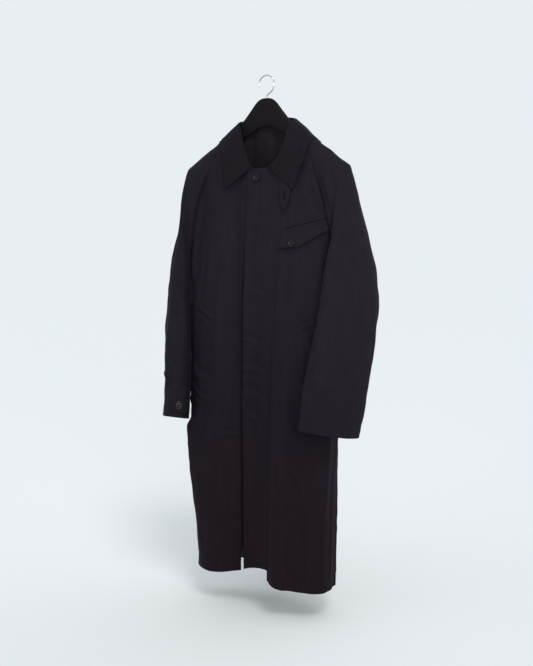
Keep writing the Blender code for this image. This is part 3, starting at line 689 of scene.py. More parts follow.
def crease_shape(a, b, start, end, bow, width, depth):
    """A ridge with a hollow along one side, fading at both ends, over places a and b in metres"""
    along = np.array(end) - np.array(start)
    long = np.hypot(*along)
    side = np.array((-along[1], along[0])) / long
    da, db = a - start[0], b - start[1]
    t = (da * along[0] + db * along[1]) / long ** 2
    inside = (t > 0.0) & (t < 1.0)
    t = np.clip(t, 0.0, 1.0)
    off = (da * side[0] + db * side[1] - 4.0 * bow * t * (1.0 - t)) / width
    ridge = np.exp(-off ** 2)
    hollow = HOLLOW_DEPTH * np.exp(-((off - HOLLOW_PLACE) / HOLLOW_WIDTH) ** 2)
    return np.where(inside, depth * (ridge - hollow) * np.sin(np.pi * t) ** END_FADE, 0.0)


def fold_depth(turn, z):
    """How far the hanging folds push the cloth out at this place"""
    total = np.zeros(np.broadcast(turn, z).shape)
    for fold in FOLDS:
        down = np.maximum((fold.z_start - z) / (fold.z_start - fold.z_full), 0.0)
        middle = lerp(fold.turn_top, fold.turn_hem, np.minimum(down, 1.0))
        away = (turn - middle + 180.0) % 360.0 - 180.0
        wave = np.cos(0.5 * np.pi * np.clip(away / fold.half_turn, -1.0, 1.0)) ** 2
        total = total + fold.depth * wave * ease(down)
    return total


def plain_torso(turn, z, out=0.0):
    """Point of the body's outer face without its pressed creases, moved out by a distance"""
    turn, z = np.broadcast_arrays(np.asarray(turn, float), np.asarray(z, float))
    angle = np.radians(turn)
    front, back = read(TORSO, "z", "front_depth", z), read(TORSO, "z", "back_depth", z)
    out = out + fold_depth(turn, z)
    x = (read(TORSO, "z", "half_width", z) + out) * power(np.sin(angle), SQUARENESS)
    y = -(np.where(np.cos(angle) > 0.0, front, back) + out) * power(np.cos(angle), SQUARENESS)
    return stacked(x, y, z)


def body_creases(turn, z):
    """Depth of the pressed creases and the unevenness on the body"""
    plain = plain_torso(turn, z)
    in_front = np.cos(np.radians(turn)) > 0.0
    total = uneven(plain)
    for facing, creases in ((in_front, FRONT_CREASES), (~in_front, BACK_CREASES)):
        for crease in creases:
            ends = (crease.x0, crease.z0), (crease.x1, crease.z1)
            total = total + facing * crease_shape(plain[..., 0], z, *ends, *crease[4:])
    seam_x = np.where(in_front, read(RAGLAN, "z", "front_x", z), read(RAGLAN, "z", "back_x", z))
    from_raglan = np.where(z > ARMPIT_Z, (seam_x - np.abs(plain[..., 0])) / SEAM_FADE, 1.0)
    from_side = np.abs(np.cos(np.radians(turn))) / SIDE_SEAM_FADE
    return total * ease(from_side) * ease(from_raglan)


def torso(turn, z, out=0.0):
    """Point of the body's outer face with its creases"""
    turn, z = np.broadcast_arrays(np.asarray(turn, float), np.asarray(z, float))
    return plain_torso(turn, z, out + body_creases(turn, z))


# Rows below the armpit, closer together beside the hem's groove
BELOW_STEPS = np.unique(np.concatenate((steps(ROWS_BELOW), HEM_STEPS)))


def turn_at(x, z):
    """The turn at which the front reaches this far out"""
    share = np.minimum(np.abs(x) / read(TORSO, "z", "half_width", z), 1.0)
    return np.copysign(np.degrees(np.arcsin(share ** (1.0 / SQUARENESS))), x)


def hem_z(turn, hem):
    """The hem lifts towards the front middle and drops a little on the wearer's left"""
    drop = LEFT_HEM_DROP * np.maximum(np.sin(np.radians(turn)), 0.0)
    return HEM_Z - drop + hem.rise * ease(1.0 - np.abs(turn) / hem.fade_turn) + hem.slant * turn


def neck_z(x):
    return lerp(NECK_FRONT_Z, NECK_CORNER_Z, (np.abs(x) / NECK_CORNER_X) ** NECK_CURVE)


def fly_edge(z):
    """The fly's free edge"""
    return read(FLY, "z", "edge_x", z)


def fly_stitch(z):
    """The long stitch line that holds the fly"""
    return read(FLY, "z", "stitch_x", z)


def underlap(z):
    """The right front runs on under the fly, and swings clear of it towards the hem"""
    swing = ease((UNDERLAP_SWING_Z - z) / (UNDERLAP_SWING_Z - UNDERLAP_FULL_Z))
    return -lerp(UNDERLAP_X, UNDERLAP_HEM_X, swing)


def front_grid(inner_edge, outer_edge, side, columns, hem):
    """Turns and heights of a front piece, from the hem up to the neck seam"""
    across, up = columns[None, :], BELOW_STEPS[:, None]
    level = lerp(HEM_Z, ARMPIT_Z, up)
    final = SIDE_TURN - SEAM_TURN if outer_edge is None else turn_at(outer_edge(level), level)
    turn = side * lerp(turn_at(inner_edge(level), level), final, across)
    below = turn, lerp(hem_z(turn, hem), ARMPIT_Z, up)
    inner_x = inner_edge(NECK_FRONT_Z)
    top_x = NECK_CORNER_X if outer_edge is None else outer_edge(NECK_FRONT_Z)
    up = steps(ROWS_ABOVE)[1:, None]
    low, high = lerp(ARMPIT_Z, neck_z(inner_x), up), lerp(ARMPIT_Z, neck_z(top_x), up)
    end_x = read(RAGLAN, "z", "front_x", high) - SEAM if outer_edge is None else outer_edge(high)
    final = np.minimum(turn_at(end_x, high), SIDE_TURN - SEAM_TURN)
    turn = side * lerp(turn_at(inner_edge(low), low), final, across)
    above = turn, lerp(ARMPIT_Z, neck_z(lerp(inner_x, top_x, across)), up)
    return [np.concatenate(pair) for pair in zip(below, above)]


def back_grid():
    """Turns and heights of the back, from the hem up to the back neck seam"""
    across = steps(BACK_COLUMNS)[None, :]
    up = BELOW_STEPS[:, None]
    turn = lerp(SIDE_TURN + SEAM_TURN, 360.0 - SIDE_TURN - SEAM_TURN, across) + 0.0 * up
    below = turn, lerp(hem_z(turn, LEVEL_HEM), ARMPIT_Z, up)
    up = steps(ROWS_ABOVE)[1:, None]
    high = lerp(ARMPIT_Z, BACK_CORNER_Z, up)
    first = 180.0 - turn_at(read(RAGLAN, "z", "back_x", high) - SEAM, high)
    first = np.maximum(first, SIDE_TURN + SEAM_TURN)
    top = lerp(NECK_BACK_Z, BACK_CORNER_Z, (2.0 * across - 1.0) ** 2)
    above = lerp(first, 360.0 - first, across), lerp(ARMPIT_Z, top, up)
    return [np.concatenate(pair) for pair in zip(below, above)]


def plain_arm(row, way, out=0.0, side="left"):
    """Point of a sleeve's tube, on the left; way runs from the armpit over the front, outside and back"""
    row, way = np.broadcast_arrays(np.asarray(row, float), np.asarray(way, float))
    at = {name: by_row(SLEEVES[side], name, row) for name in Sleeve._fields}
    half_x, half_z = (at["outer_x"] - at["inner_x"]) / 2.0, (at["outer_z"] - at["inner_z"]) / 2.0
    twist = np.radians(-at["twist"])
    angle = lerp(SLIT_TURN, 2.0 * np.pi - SLIT_TURN, way)
    flat = lerp(1.0, SLEEVE_FLATNESS[side], ease(row / FLATTENING_ROWS))
    wide = power(np.cos(angle), flat) * (1.0 + out / np.hypot(half_x, half_z))
    deep = power(np.sin(angle), flat) * (at["half_depth"] + out)
    x = (at["inner_x"] + at["outer_x"]) / 2.0 - half_x * np.cos(twist) * wide + np.sin(twist) * deep
    y = at["mid_y"] - half_x * np.sin(twist) * wide - np.cos(twist) * deep
    z = (at["inner_z"] + at["outer_z"]) / 2.0 - half_z * wide
    tilt = CUFF_TILT * ease((row - CUFF_TILT_FROM) / (CUFF_LEVEL - CUFF_TILT_FROM))
    return stacked(x, y, z + tilt * (at["mid_y"] - y))


def raglan_point(down, face, out):
    """Sleeve's side of the raglan seam, from the neck (0) to the armpit (1)"""
    z = lerp(NECK_CORNER_Z if face == "front" else BACK_CORNER_Z, ARMPIT_Z, down)
    turn = turn_at(read(RAGLAN, "z", face + "_x", z) + SEAM, z)
    return plain_torso(turn if face == "front" else 180.0 - turn, z, out)


def plain_cap(down, way, out=0.0, side="left"):
    """Point of the sleeve's shoulder cap, between the neck, the raglan seams and the arm's tube"""
    down, way, out = np.broadcast_arrays(*(np.asarray(v, float) for v in (down, way, out)))
    front, back = raglan_point(0.0 * down, "front", out), raglan_point(0.0 * down, "back", out)
    ridge = SHOULDER_NECK + stacked(0.0 * out, 0.0 * out, out)
    pull = 2.0 * ridge - (front + back) / 2.0
    down, way = down[..., None], way[..., None]
    neck = front * (1.0 - way) ** 2 + pull * 2.0 * way * (1.0 - way) + back * way ** 2
    point = lerp(neck, plain_arm(0.0, way[..., 0], out, side), down)
    near, far = np.maximum(1.0 - 2.0 * way, 0.0) ** 2, np.maximum(2.0 * way - 1.0, 0.0) ** 2
    for weight, face, start, end in ((near, "front", front, 0.0), (far, "back", back, 1.0)):
        hole = plain_arm(0.0, end + 0.0 * out, out, side)
        straight = lerp(start, hole, down)
        drift = hole - raglan_point(1.0 + 0.0 * out, face, out)
        point = point + weight * (raglan_point(down[..., 0], face, out) + drift * down - straight)
    return point


def plain_sleeve(level, way, out=0.0, side="left"):
    """Cap and tube in one: level runs from the neck (-1) past the armhole (0) to the cuff (9)"""
    level, way, out = np.broadcast_arrays(*(np.asarray(v, float) for v in (level, way, out)))
    cap = plain_cap(np.clip(level + 1.0, 0.0, 1.0), way, out, side)
    tube = plain_arm(np.maximum(level, 0.0), way, out, side)
    points = np.where((level < 0.0)[..., None], cap, tube)
    return points if side == "left" else right_arm(points)


def sleeve_creases(level, way, side="left"):
    """Depth of the pressed creases and the unevenness on a sleeve"""
    depth = uneven(plain_sleeve(level, way, 0.0, side))
    a, b = way * SLEEVE_GIRTH, level * LEVEL_LENGTH
    for pull in SLEEVE_CREASES:
        start = pull.way0 * SLEEVE_GIRTH, pull.level0 * LEVEL_LENGTH
        end = pull.way1 * SLEEVE_GIRTH, pull.level1 * LEVEL_LENGTH
        depth = depth + crease_shape(a, b, start, end, *pull[4:])
    from_seam = np.minimum(way, 1.0 - way) / SLEEVE_SEAM_FADE
    from_neck = (level + 1.0) / SLEEVE_NECK_FADE
    return depth * ease(from_seam) * ease(from_neck)


def sleeve(level, way, out=0.0, side="left"):
    """Point of a sleeve with its creases"""
    level, way = np.broadcast_arrays(np.asarray(level, float), np.asarray(way, float))
    return plain_sleeve(level, way, out + sleeve_creases(level, way, side), side)


def right_arm(points):
    """The right sleeve hangs a little higher and further out below the elbow"""
    x, y, z = np.moveaxis(points, -1, 0)
    down = ease((ELBOW_Z - z) / (ELBOW_Z - RIGHT_SLEEVE[-1].inner_z))
    return stacked(-x - RIGHT_CUFF_SWING * down, y, z + RIGHT_CUFF_LIFT * down)


def normals_of(grid):
    """Unit normals of a grid of points"""
    return unit(np.cross(np.gradient(grid, axis=1), np.gradient(grid, axis=0)))


def facing_out(outer, inner):
    """Unit normals of the outer grid, turned away from the inner one"""
    normal = normals_of(outer)
    return normal if np.sum((outer - inner) * normal) > 0.0 else -normal


def arc(grid, axis):
    """Length along the rows or the columns of a grid, or along a line, from its first point"""
    length = np.linalg.norm(np.diff(grid, axis=axis), axis=-1).cumsum(axis)
    return np.insert(length, 0, 0.0, axis=axis)


def on_line(points, far, at):
    """Places on a line of points, at distances along it"""
    return np.stack([np.interp(at, far, points[:, k]) for k in range(3)], axis=1)


def drawn_in(grid, square):
    """The grid with its outermost rows pulled in a little, to leave room for rounded edges"""
    grid = grid.copy()
    for lines, name in ((grid, "row"), (grid.swapaxes(0, 1), "column")):
        for edge, beside, end in ((0, 1, "first"), (-1, -2, "last")):
            if end + " " + name in square:
                continue
            step = lines[beside] - lines[edge]
            reach = np.linalg.norm(step, axis=-1, keepdims=True)
            lines[edge] += step * np.minimum(EDGE_ROUND / np.maximum(reach, TINY), MOST_DRAWN_IN)
    return grid


def add_object(name, mesh):
    """A smooth piece of the scene made from a mesh"""
    mesh.shade_smooth()
    obj = bpy.data.objects.new(name, mesh)
    bpy.context.scene.collection.objects.link(obj)
    return obj


def shell(name, outer, inner, square, outside, inside):
    """Closed thin cloth between two grids, with rounded edges, a lined inside partly painted light, and a
    UV map in metres
    """
    tall, wide = outer.shape[:2]
    number = np.arange(tall * wide).reshape(tall, wide)
    rim = np.concatenate((number[0, :-1], number[:-1, -1], number[-1, :0:-1], number[:0:-1, 0]))
    points = np.concatenate((
        drawn_in(outer, square).reshape(-1, 3),
        drawn_in(inner, square).reshape(-1, 3),
        (outer + inner).reshape(-1, 3)[rim] / 2.0,
    ))
    corners = number[:-1, :-1], number[:-1, 1:], number[1:, 1:], number[1:, :-1]
    quads = np.stack(corners, axis=-1).reshape(-1, 4)
    edge = 2 * tall * wide + np.arange(len(rim))
    after, edge_after = np.roll(rim, -1), np.roll(edge, -1)
    faces = np.concatenate((
        quads,
        quads[:, ::-1] + tall * wide,
        np.stack((after, rim, edge, edge_after), axis=-1),
        np.stack((edge_after, edge, rim + tall * wide, after + tall * wide), axis=-1),
    ))
    a, b, c, d = (points[faces[:, k]] for k in range(4))
    if np.sum(a * np.cross(b, c)) + np.sum(a * np.cross(c, d)) < 0.0:
        faces = faces[:, ::-1]
    mesh = bpy.data.meshes.new(name)
    mesh.from_pydata(points.tolist(), [], faces.tolist())
    flat = np.stack((arc(outer, 1), arc(outer, 0)), axis=-1).reshape(-1, 2)
    flat = np.concatenate((flat, flat, flat[rim]))
    layer = mesh.uv_layers.new(name="UVMap")
    layer.data.foreach_set("uv", flat[faces.reshape(-1)].astype(np.float32).ravel())
    mesh.materials.append(outside)
    mesh.materials.append(inside)
    sides = np.zeros(len(faces), dtype=np.int32)
    sides[len(quads):2 * len(quads)] = 1
    mesh.polygons.foreach_set("material_index", sides)
    return add_object(name, mesh)


def place(obj, node):
    """Put a finished piece in its CAD node's stead"""
    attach(obj, "root")
    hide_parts(node)
    return obj


def cloth_piece(node, outer, inner, square=()):
    """A sheet of the coat's cloth, put in its CAD node's stead"""
    family = node.split("_")[0]
    outside = {"collar": collar_twill, "sleeve": sleeve_twill, "cuff": sleeve_twill}.get(family, twill)
    inside = lining_and_painted_light if family in LINED_WITH_PAINTED_LIGHT else outside
    obj = place(shell("cloth_" + node, outer, inner, square, outside, inside), node)
    width, length = arc(outer, 1)[:, -1].max(), arc(outer, 0)[-1].max()


# Stitching
def thread_bead():
    """One stitch as a small ball of radius 1, modelled once: its points and faces"""
    bpy.ops.mesh.primitive_uv_sphere_add(segments=BEAD_SIDES, ring_count=BEAD_RINGS, radius=1.0,
                                         location=(0.0, 0.0, 0.0))
    bead = bpy.context.object
    points = np.array([v.co for v in bead.data.vertices])
    faces = [list(p.vertices) for p in bead.data.polygons]
    bpy.data.objects.remove(bead)
    return points, faces


def beads(name, places, along, up, length, radius, material):
    """Many short threads in one mesh: each lies along one direction, half sunk in what is below it"""
    points, faces = stitch_bead
    across = np.cross(up, along)
    frames = np.stack((across * radius, up * radius, along * length / 2.0), axis=1)
    everywhere = np.einsum("vk,nkc->nvc", points, frames) + places[:, None, :]
    all_faces = [[i + k * len(points) for i in face] for k in range(len(places)) for face in faces]
    mesh = bpy.data.meshes.new(name)
    mesh.from_pydata(everywhere.reshape(-1, 3).tolist(), [], all_faces)
    mesh.materials.append(material)
    return add_object(name, mesh)


def sewn(name, places, along, up, length, radius, material):
    """Thread that goes with the cloth, as a mesh of its own"""
    obj = beads(name, places, along, up, length, radius, material)
    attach(obj, "root")


def inset_line(grid, normal, edge, inset):
    """Points and normals of the line that runs at a distance inside one edge of a grid"""
    both = np.concatenate((grid, normal), axis=-1)
    if "row" in edge:
        both = both.swapaxes(0, 1)
    if edge.startswith("last"):
        both = both[:, ::-1]
    found = []
    for line, far in zip(both, arc(both[..., :3], 1)):
        found.append([np.interp(inset, far, column) for column in line.T])
    found = np.array(found)
    return found[:, :3], found[:, 3:]


def stitch_rows(rows):
    """Places, directions and normals of the stitches along lines of (points, normals)"""
    stitches = []
    for points, normal in rows:
        far = arc(points, 0)
        at = np.arange(STITCH_PITCH, far[-1] - STITCH_PITCH, STITCH_PITCH)
        spot = on_line(points, far, at)
        along = unit(on_line(points, far, at + STITCH_PITCH / 2.0) - spot)
        up = on_line(normal, far, at)
        up = unit(up - along * np.sum(up * along, axis=1, keepdims=True))
        stitches.append((spot + up * STITCH_RISE, along, up))
    return [np.concatenate(group) for group in zip(*stitches)]


def stitching(name, rows):
    """Stitching of one piece along its lines"""
    sewn(name, *stitch_rows(rows), STITCH_LENGTH, STITCH_R, thread)


# Body panels
def groove(grid, edge, inset, depth, reach):
    """How far the cloth dips along a line at a distance inside one edge"""
    axis = 1 if "column" in edge else 0
    far = arc(grid, axis)
    if edge.startswith("last"):
        far = np.take(far, [-1], axis) - far
    return -depth * np.exp(-((far - inset) / reach) ** 2)


def seam_dip(grid, edges):
    """How far the cloth dips beside its sewn edges"""
    return sum(groove(grid, edge, 0.0, SEAM_DIP, SEAM_REACH) for edge in edges)


def edge_grooves(grid, edges):
    """Shallow grooves drawn in by the stitching beside the edges"""
    return sum(groove(grid, edge, EDGE_INSET, STITCH_GROOVE, STITCH_GROOVE_REACH) for edge in edges)


def panel(node, grid, edges, rows, moved=None, square=(), grooves=()):
    """One panel of the body: cloth between its outer and inner face, and its stitching"""
    turn, z = grid
    plain = plain_torso(turn, z)
    drop = 0.0 if moved is None else moved(turn, z)
    drop = drop + seam_dip(plain, edges)
    drop = drop + groove(plain, "first row", HEM_INSET, HEM_GROOVE, HEM_GROOVE_REACH)
    drop = drop + edge_grooves(plain, grooves) + body_creases(turn, z)
    outer, inner = plain_torso(turn, z, drop), plain_torso(turn, z, drop - CLOTH)
    cloth_piece(node, outer, inner, square)
    normal = facing_out(outer, inner)
    stitching("stitching_" + node, [inset_line(outer, normal, edge, inset) for edge, inset in rows])


def under_fly(turn, z):
    """The right front hollows beside the fly and rises again to lie under it"""
    hollow = UNDERLAP_DROP * ease((turn - UNDERLAP_TURN) / UNDERLAP_BLEND)
    rise = UNDERLAP_RISE * ease((turn - UNDERLAP_RISE_TURN) / UNDERLAP_BLEND)
    away = plain_torso(turn, z)[..., 0] - fly_edge(z)
    slot = SLOT_DEPTH * ease((away + SLOT_FROM) / SLOT_RAMP) * ease((SLOT_TOP_Z - z) / SLOT_FADE)
    share = lerp(UNDERLAP_TOP_SHARE, 1.0, ease((NECK_FRONT_Z - z) / UNDERLAP_GROWTH))
    return share * (rise - hollow) - slot


def at_stitch_line(turn, z):
    """The long stitch line pulls the cloth in, more so towards the hem"""
    away = plain_torso(turn, z)[..., 0] - fly_stitch(z)
    deep = lerp(FLY_SEAM_TOP, FLY_SEAM_HEM, ease((NECK_FRONT_Z - z) / FLY_SEAM_GROWTH))
    return -deep * np.exp(-(away / FLY_SEAM_REACH) ** 2)


def on_the_fly(turn, z):
    """The fly's free edge stands off the front below the neck"""
    away = plain_torso(turn, z)[..., 0] - fly_edge(z)
    stand = lerp(FLY_STAND_TOP, FLY_STAND, ease((FLY_STAND_Z - z) / FLY_STAND_GROWTH))
    return stand * np.exp(-(away / FLY_STAND_REACH) ** 2) + at_stitch_line(turn, z)


def body():
    """Fronts, fly and back"""
    sides = ("first column", "last column")
    hem_row = ("first row", HEM_INSET)
    edge_rows = [(side, EDGE_INSET) for side in sides]
    left = front_grid(fly_stitch, None, 1, fine_ends(FRONT_COLUMNS, FLY_SEAM_STEPS), LEFT_HEM)
    panel("front_left", left, sides[1:], [hem_row], moved=at_stitch_line, square=sides)
    right = front_grid(underlap, None, -1, steps(RIGHT_FRONT_COLUMNS), RIGHT_HEM)
    panel("front_right", right, sides[1:], [hem_row, edge_rows[0]], moved=under_fly,
          square=sides[1:])
    fly = front_grid(fly_edge, fly_stitch, 1, fine_ends(FLY_COLUMNS, FLY_EDGE_STEPS), FLY_HEM)
    panel("fly_front", fly, (), [hem_row, *edge_rows], moved=on_the_fly,
          square=sides[1:], grooves=sides)
    panel("back", back_grid(), sides, [hem_row], square=sides)


def with_allowance(grid, normal):
    """The sleeve with a narrow strip beside each edge, tucked under the panels along the raglan seams"""
    under = 1.0 - ease((np.arange(len(grid)) - CAP_ROWS) / ALLOWANCE_ROWS)
    wide = ALLOWANCE * np.maximum(under, ALLOWANCE_LEAST)[:, None]
    deep = ALLOWANCE_DEPTH * under[:, None]
    strips = []
    for edge, beside in ((0, 1), (-1, -2)):
        away = unit(grid[:, edge] - grid[:, beside])
        strips.append((grid[:, edge] + away * wide - normal[:, edge] * deep)[:, None])
    return np.concatenate((strips[0], grid, strips[1]), axis=1)


def sleeves():
    """Both sleeves, with stitching along the raglan seams and the cuffs"""
    levels = np.concatenate((steps(CAP_ROWS) - 1.0, CUFF_LEVEL * steps(ARM_ROWS)[1:]))[:, None]
    ways = steps(SLEEVE_COLUMNS)[None, :]
    seams = ("first column", "last column")
    stitched = slice(0, CAP_ROWS - ARMPIT_FREE_ROWS)
    for side in SLEEVES:
        plain = plain_sleeve(levels, ways, 0.0, side)
        dip = seam_dip(plain, seams) + groove(plain, "last row", CUFF_INSET, HEM_GROOVE, HEM_GROOVE_REACH)
        dip = dip + sleeve_creases(levels, ways, side)
        outer = plain_sleeve(levels, ways, dip, side)
        inner = plain_sleeve(levels, ways, dip - CLOTH, side)
        normal = facing_out(outer, inner)
        cloth_piece("sleeve_" + side, with_allowance(outer, normal), with_allowance(inner, normal),
                    square=seams)
        rows = [inset_line(outer, normal, "last row", CUFF_INSET)]
        for edge in seams:
            line, up = inset_line(outer, normal, edge, EDGE_INSET)
            rows.append((line[stitched], up[stitched]))
        stitching("stitching_sleeve_" + side, rows)


# Collar
def neck_seam(way, start):
    """The neck seam from the collar's front end (0) to the back middle (1), on the wearer's left"""
    x = lerp(start, NECK_CORNER_X, np.minimum(way / COLLAR_FRONT_WAY, 1.0))
    front = plain_torso(turn_at(x, neck_z(x)), neck_z(x))
    share = np.clip((way - COLLAR_FRONT_WAY) / (COLLAR_BACK_WAY - COLLAR_FRONT_WAY), 0.0, 1.0)
    cap = plain_cap(0.0 * share, share)
    share = np.clip((way - COLLAR_BACK_WAY) / (1.0 - COLLAR_BACK_WAY), 0.0, 1.0)
    corner = 180.0 - turn_at(read(RAGLAN, "z", "back_x", BACK_CORNER_Z), BACK_CORNER_Z)
    z = lerp(BACK_CORNER_Z, NECK_BACK_Z, 1.0 - (1.0 - share) ** 2)
    back = plain_torso(lerp(corner, 180.0, share), z)
    way = way[:, None]
    return np.where(way < COLLAR_FRONT_WAY, front, np.where(way < COLLAR_BACK_WAY, cap, back))


# Shares of the way from the neck seam to the collar's edge, where finer steps end the even ones
COLLAR_SHARES = np.concatenate((steps(COLLAR_ROWS)[:-3], 1.0 - np.array(COLLAR_EDGE_STEPS), (1.0,)))


def rounded_line(points, shares):
    """A line through the points, with its corners rounded, read at shares of its length"""
    far = arc(points, 0)
    fine = steps(COLLAR_FINE * COLLAR_ROWS)
    line = on_line(points, far, fine * far[-1])
    for _ in range(COLLAR_ROUNDING):
        line[1:-1] = (line[:-2] + 2.0 * line[1:-1] + line[2:]) / 4.0
    return on_line(line, fine, shares)


def collar_section(ways, table):
    """Seam, stand, fold and fall of half the collar at each way round the neck"""
    fold = np.stack([read(table, "way", "fold_" + axis, ways) for axis in "xyz"], axis=1)
    edge = np.stack([read(table, "way", "edge_" + axis, ways) for axis in "xyz"], axis=1)
    swell = read(table, "way", "swell", ways)[:, None]
    seam = neck_seam(ways, table[0].fold_x) + UPWARD * COLLAR_LIFT
    outward = unit((edge - fold) * IN_PLAN)
    inward = unit((NECK_MIDDLE - seam) * IN_PLAN)
    over_bar = np.exp(-((ways - OVER_BAR_WAY) / OVER_BAR_REACH) ** 2)[:, None]
    foot = seam + inward * COLLAR_TUCK_IN
    top = fold + outward * COLLAR_ROUND / 2.0
    turn_over = outward * COLLAR_ROUND + UPWARD * swell * COLLAR_TURN_RISE
    line = [
        foot - UPWARD * COLLAR_TUCK_DOWN * (1.0 - OVER_BAR_LIFT * over_bar),
        foot,
        lerp(seam, fold, STAND_MIDDLE),
        top - turn_over,
        top + turn_over,
    ]
    for part in COLLAR_FALL:
        line.append(lerp(fold, edge, part.along) + (outward * part.out + UPWARD * part.up) * swell)
    return np.stack([rounded_line(points, COLLAR_SHARES) for points in np.stack(line, axis=1)])


def collar():
    """One folded band from the right front round the back to the left front"""
    ways = np.concatenate(((0.0,), COLLAR_END_STEPS, steps(COLLAR_HALF_COLUMNS)[2:]))
    left = collar_section(ways, COLLARS["left"])
    right = collar_section(ways, COLLARS["right"]) * MIRRORED
    band = np.concatenate((right, left[-2::-1]))
    ways = np.concatenate((ways, ways[-2::-1]))
    normal = normals_of(band)
    right_fall = normal[len(right) // 3, -4]
    if right_fall @ TO_THE_FRONT < 0.0:
        normal = -normal
    wave = np.zeros(len(ways))
    for ripple in COLLAR_RIPPLES:
        wave += ripple.depth * np.exp(-((ways - ripple.way) / ripple.half_way) ** 2)
    wave = wave * np.concatenate((np.full(len(right), RIGHT_RIPPLE), np.ones(len(left) - 1)))
    ends = ("first row", "last row")
    depth = wave[:, None] + uneven(band) * COLLAR_UNEVEN + edge_grooves(band, ("last column", *ends))
    depth = depth * ease((COLLAR_SHARES - COLLAR_LOOSE_FROM) / COLLAR_LOOSE_OVER)[None, :]
    outer = band + normal * depth[..., None]
    normal = facing_out(outer, outer - normal)
    cloth_piece("collar", outer, outer - normal * COLLAR_CLOTH)
    rows = [inset_line(outer, normal, "last column", EDGE_INSET)]
    for edge in ends:
        line, up = inset_line(outer, normal, edge, EDGE_INSET)
        rows.append((line[COLLAR_STITCH_ROW:], up[COLLAR_STITCH_ROW:]))
    stitching("stitching_collar", rows)


# Flap, tabs and welts
def trim_piece(node, outer, inner):
    """A small piece sewn on a panel, stitched round its edges"""
    cloth_piece(node, outer, inner)
    normal = facing_out(outer, inner)
    edges = ("first column", "last column", "first row", "last row")
    stitching("stitching_" + node, [inset_line(outer, normal, edge, EDGE_INSET) for edge in edges])
    return normal


def on_front(x, z, rise):
    """Points on the front, lifted off the cloth"""
    return torso(turn_at(x, z), z, rise)


def flap():
    """Chest flap, its free lower edge standing off a little, with near-black thread along its top as
    painted shade of the seam
    """
    along, down = steps(FLAP_COLUMNS)[:, None], steps(TRIM_COLUMNS)[None, :]
    at = {name: read(CHEST_FLAP, "along", name, along) for name in Flap._fields}
    x, z = lerp(at["top_x"], at["low_x"], down), lerp(at["top_z"], at["low_z"], down)
    rise = ON_TOP + FLAP_STAND * down ** 2
    outer = on_front(x, z, rise + CLOTH)
    normal = trim_piece("chest_flap", outer, on_front(x, z, rise))
    # Near-black beads along the flap's top: painted shade of the seam's groove
    seam = stitch_rows([inset_line(outer, normal, "first column", 0.0)])
    sewn("painted_shade_seam_chest_flap", *seam, SEAM_SHADE_THREAD_LENGTH, SEAM_SHADE_THREAD_R, thread_and_painted_shade)


def pointed(half, along, point_from):
    """Half width of a tab that narrows towards its end"""
    return half * (1.0 - TAB_NARROWING * ease((along - point_from) / (1.0 - point_from)))


def throat_tab():
    """Tab under the left collar point, with its buttonhole"""
    down, across = steps(TAB_ROWS)[:, None], steps(TRIM_COLUMNS)[None, :]
    half = pointed(lerp(TAB_HALF, TAB_END_HALF, down), down, TAB_POINT_FROM)
    x, z = TAB_X + lerp(-half, half, across), lerp(TAB_TOP_Z, TAB_POINT_Z, down) + 0.0 * across
    rise = ON_TOP + TAB_STAND * down ** 2
    outer = on_front(x, z, rise + CLOTH)
    normal = trim_piece("throat_tab", outer, on_front(x, z, rise))
    buttonhole("buttonhole_throat_tab", outer, normal)


def on_grid(grid, a, b):
    """Places on a grid, at shares of the way down its rows and across its columns"""
    rows, columns = grid.shape[0] - 1, grid.shape[1] - 1
    i = np.clip((a * rows).astype(int), 0, rows - 1)
    j = np.clip((b * columns).astype(int), 0, columns - 1)
    s, t = (a * rows - i)[:, None], (b * columns - j)[:, None]
    return lerp(lerp(grid[i, j], grid[i, j + 1], t), lerp(grid[i + 1, j], grid[i + 1, j + 1], t), s)


def buttonhole(name, grid, normal):
    """Closely sewn near-black threads round a short slit near the end of a tab, darkened as painted shade
    of the slit
    """
    turn = np.linspace(0.0, 2.0 * np.pi, HOLE_THREADS, endpoint=False)
    down = HOLE_AT + HOLE_HALF_LENGTH * np.sin(turn)
    across = 0.5 + HOLE_HALF_WIDTH * power(np.cos(turn), HOLE_SQUARENESS)
    places, up = on_grid(grid, down, across), on_grid(normal, down, across)
    slit = on_grid(grid, HOLE_AT + HOLE_THREAD_LEAN * (down - HOLE_AT), 0.5 + 0.0 * across)
    along = places - slit
    along = unit(along - up * np.sum(along * up, axis=1, keepdims=True))
    sewn(name, places + up * STITCH_RISE, along, up, HOLE_THREAD_LENGTH, HOLE_THREAD_R, thread_and_painted_shade)


def welts():
    """Slanting side pocket welts"""
    along, across = steps(WELT_ROWS)[:, None], steps(TRIM_COLUMNS)[None, :]
    at = {name: read(SIDE_WELT, "along", name, along) for name in Welt._fields}
    x, z = lerp(at["front_x"], at["back_x"], across), lerp(at["front_z"], at["back_z"], across)
    rise = WELT_RISE + WELT_STAND * (1.0 - across) ** 2 * np.sin(np.pi * along)
    for side, name in ((1, "left"), (-1, "right")):
        outer, inner = on_front(side * x, z, rise + WELT_CLOTH), on_front(side * x, z, rise)
        cloth_piece("welt_" + name, outer, inner)


def cuff_tabs():
    """Tabs round the cuffs"""
    along, across = steps(CUFF_TAB_ROWS)[:, None], steps(TRIM_COLUMNS)[None, :]
    half = pointed(CUFF_TAB_HALF, along, CUFF_POINT_FROM)
    level = CUFF_TAB_AT + lerp(-half, half, across)
    for tab in CUFF_TABS:
        way = lerp(tab.start, tab.end, along) + 0.0 * across
        outer, inner = sleeve(level, way, ON_TOP + CLOTH, tab.side), sleeve(level, way, ON_TOP, tab.side)
        trim_piece("cuff_tab_" + tab.side, outer, inner)


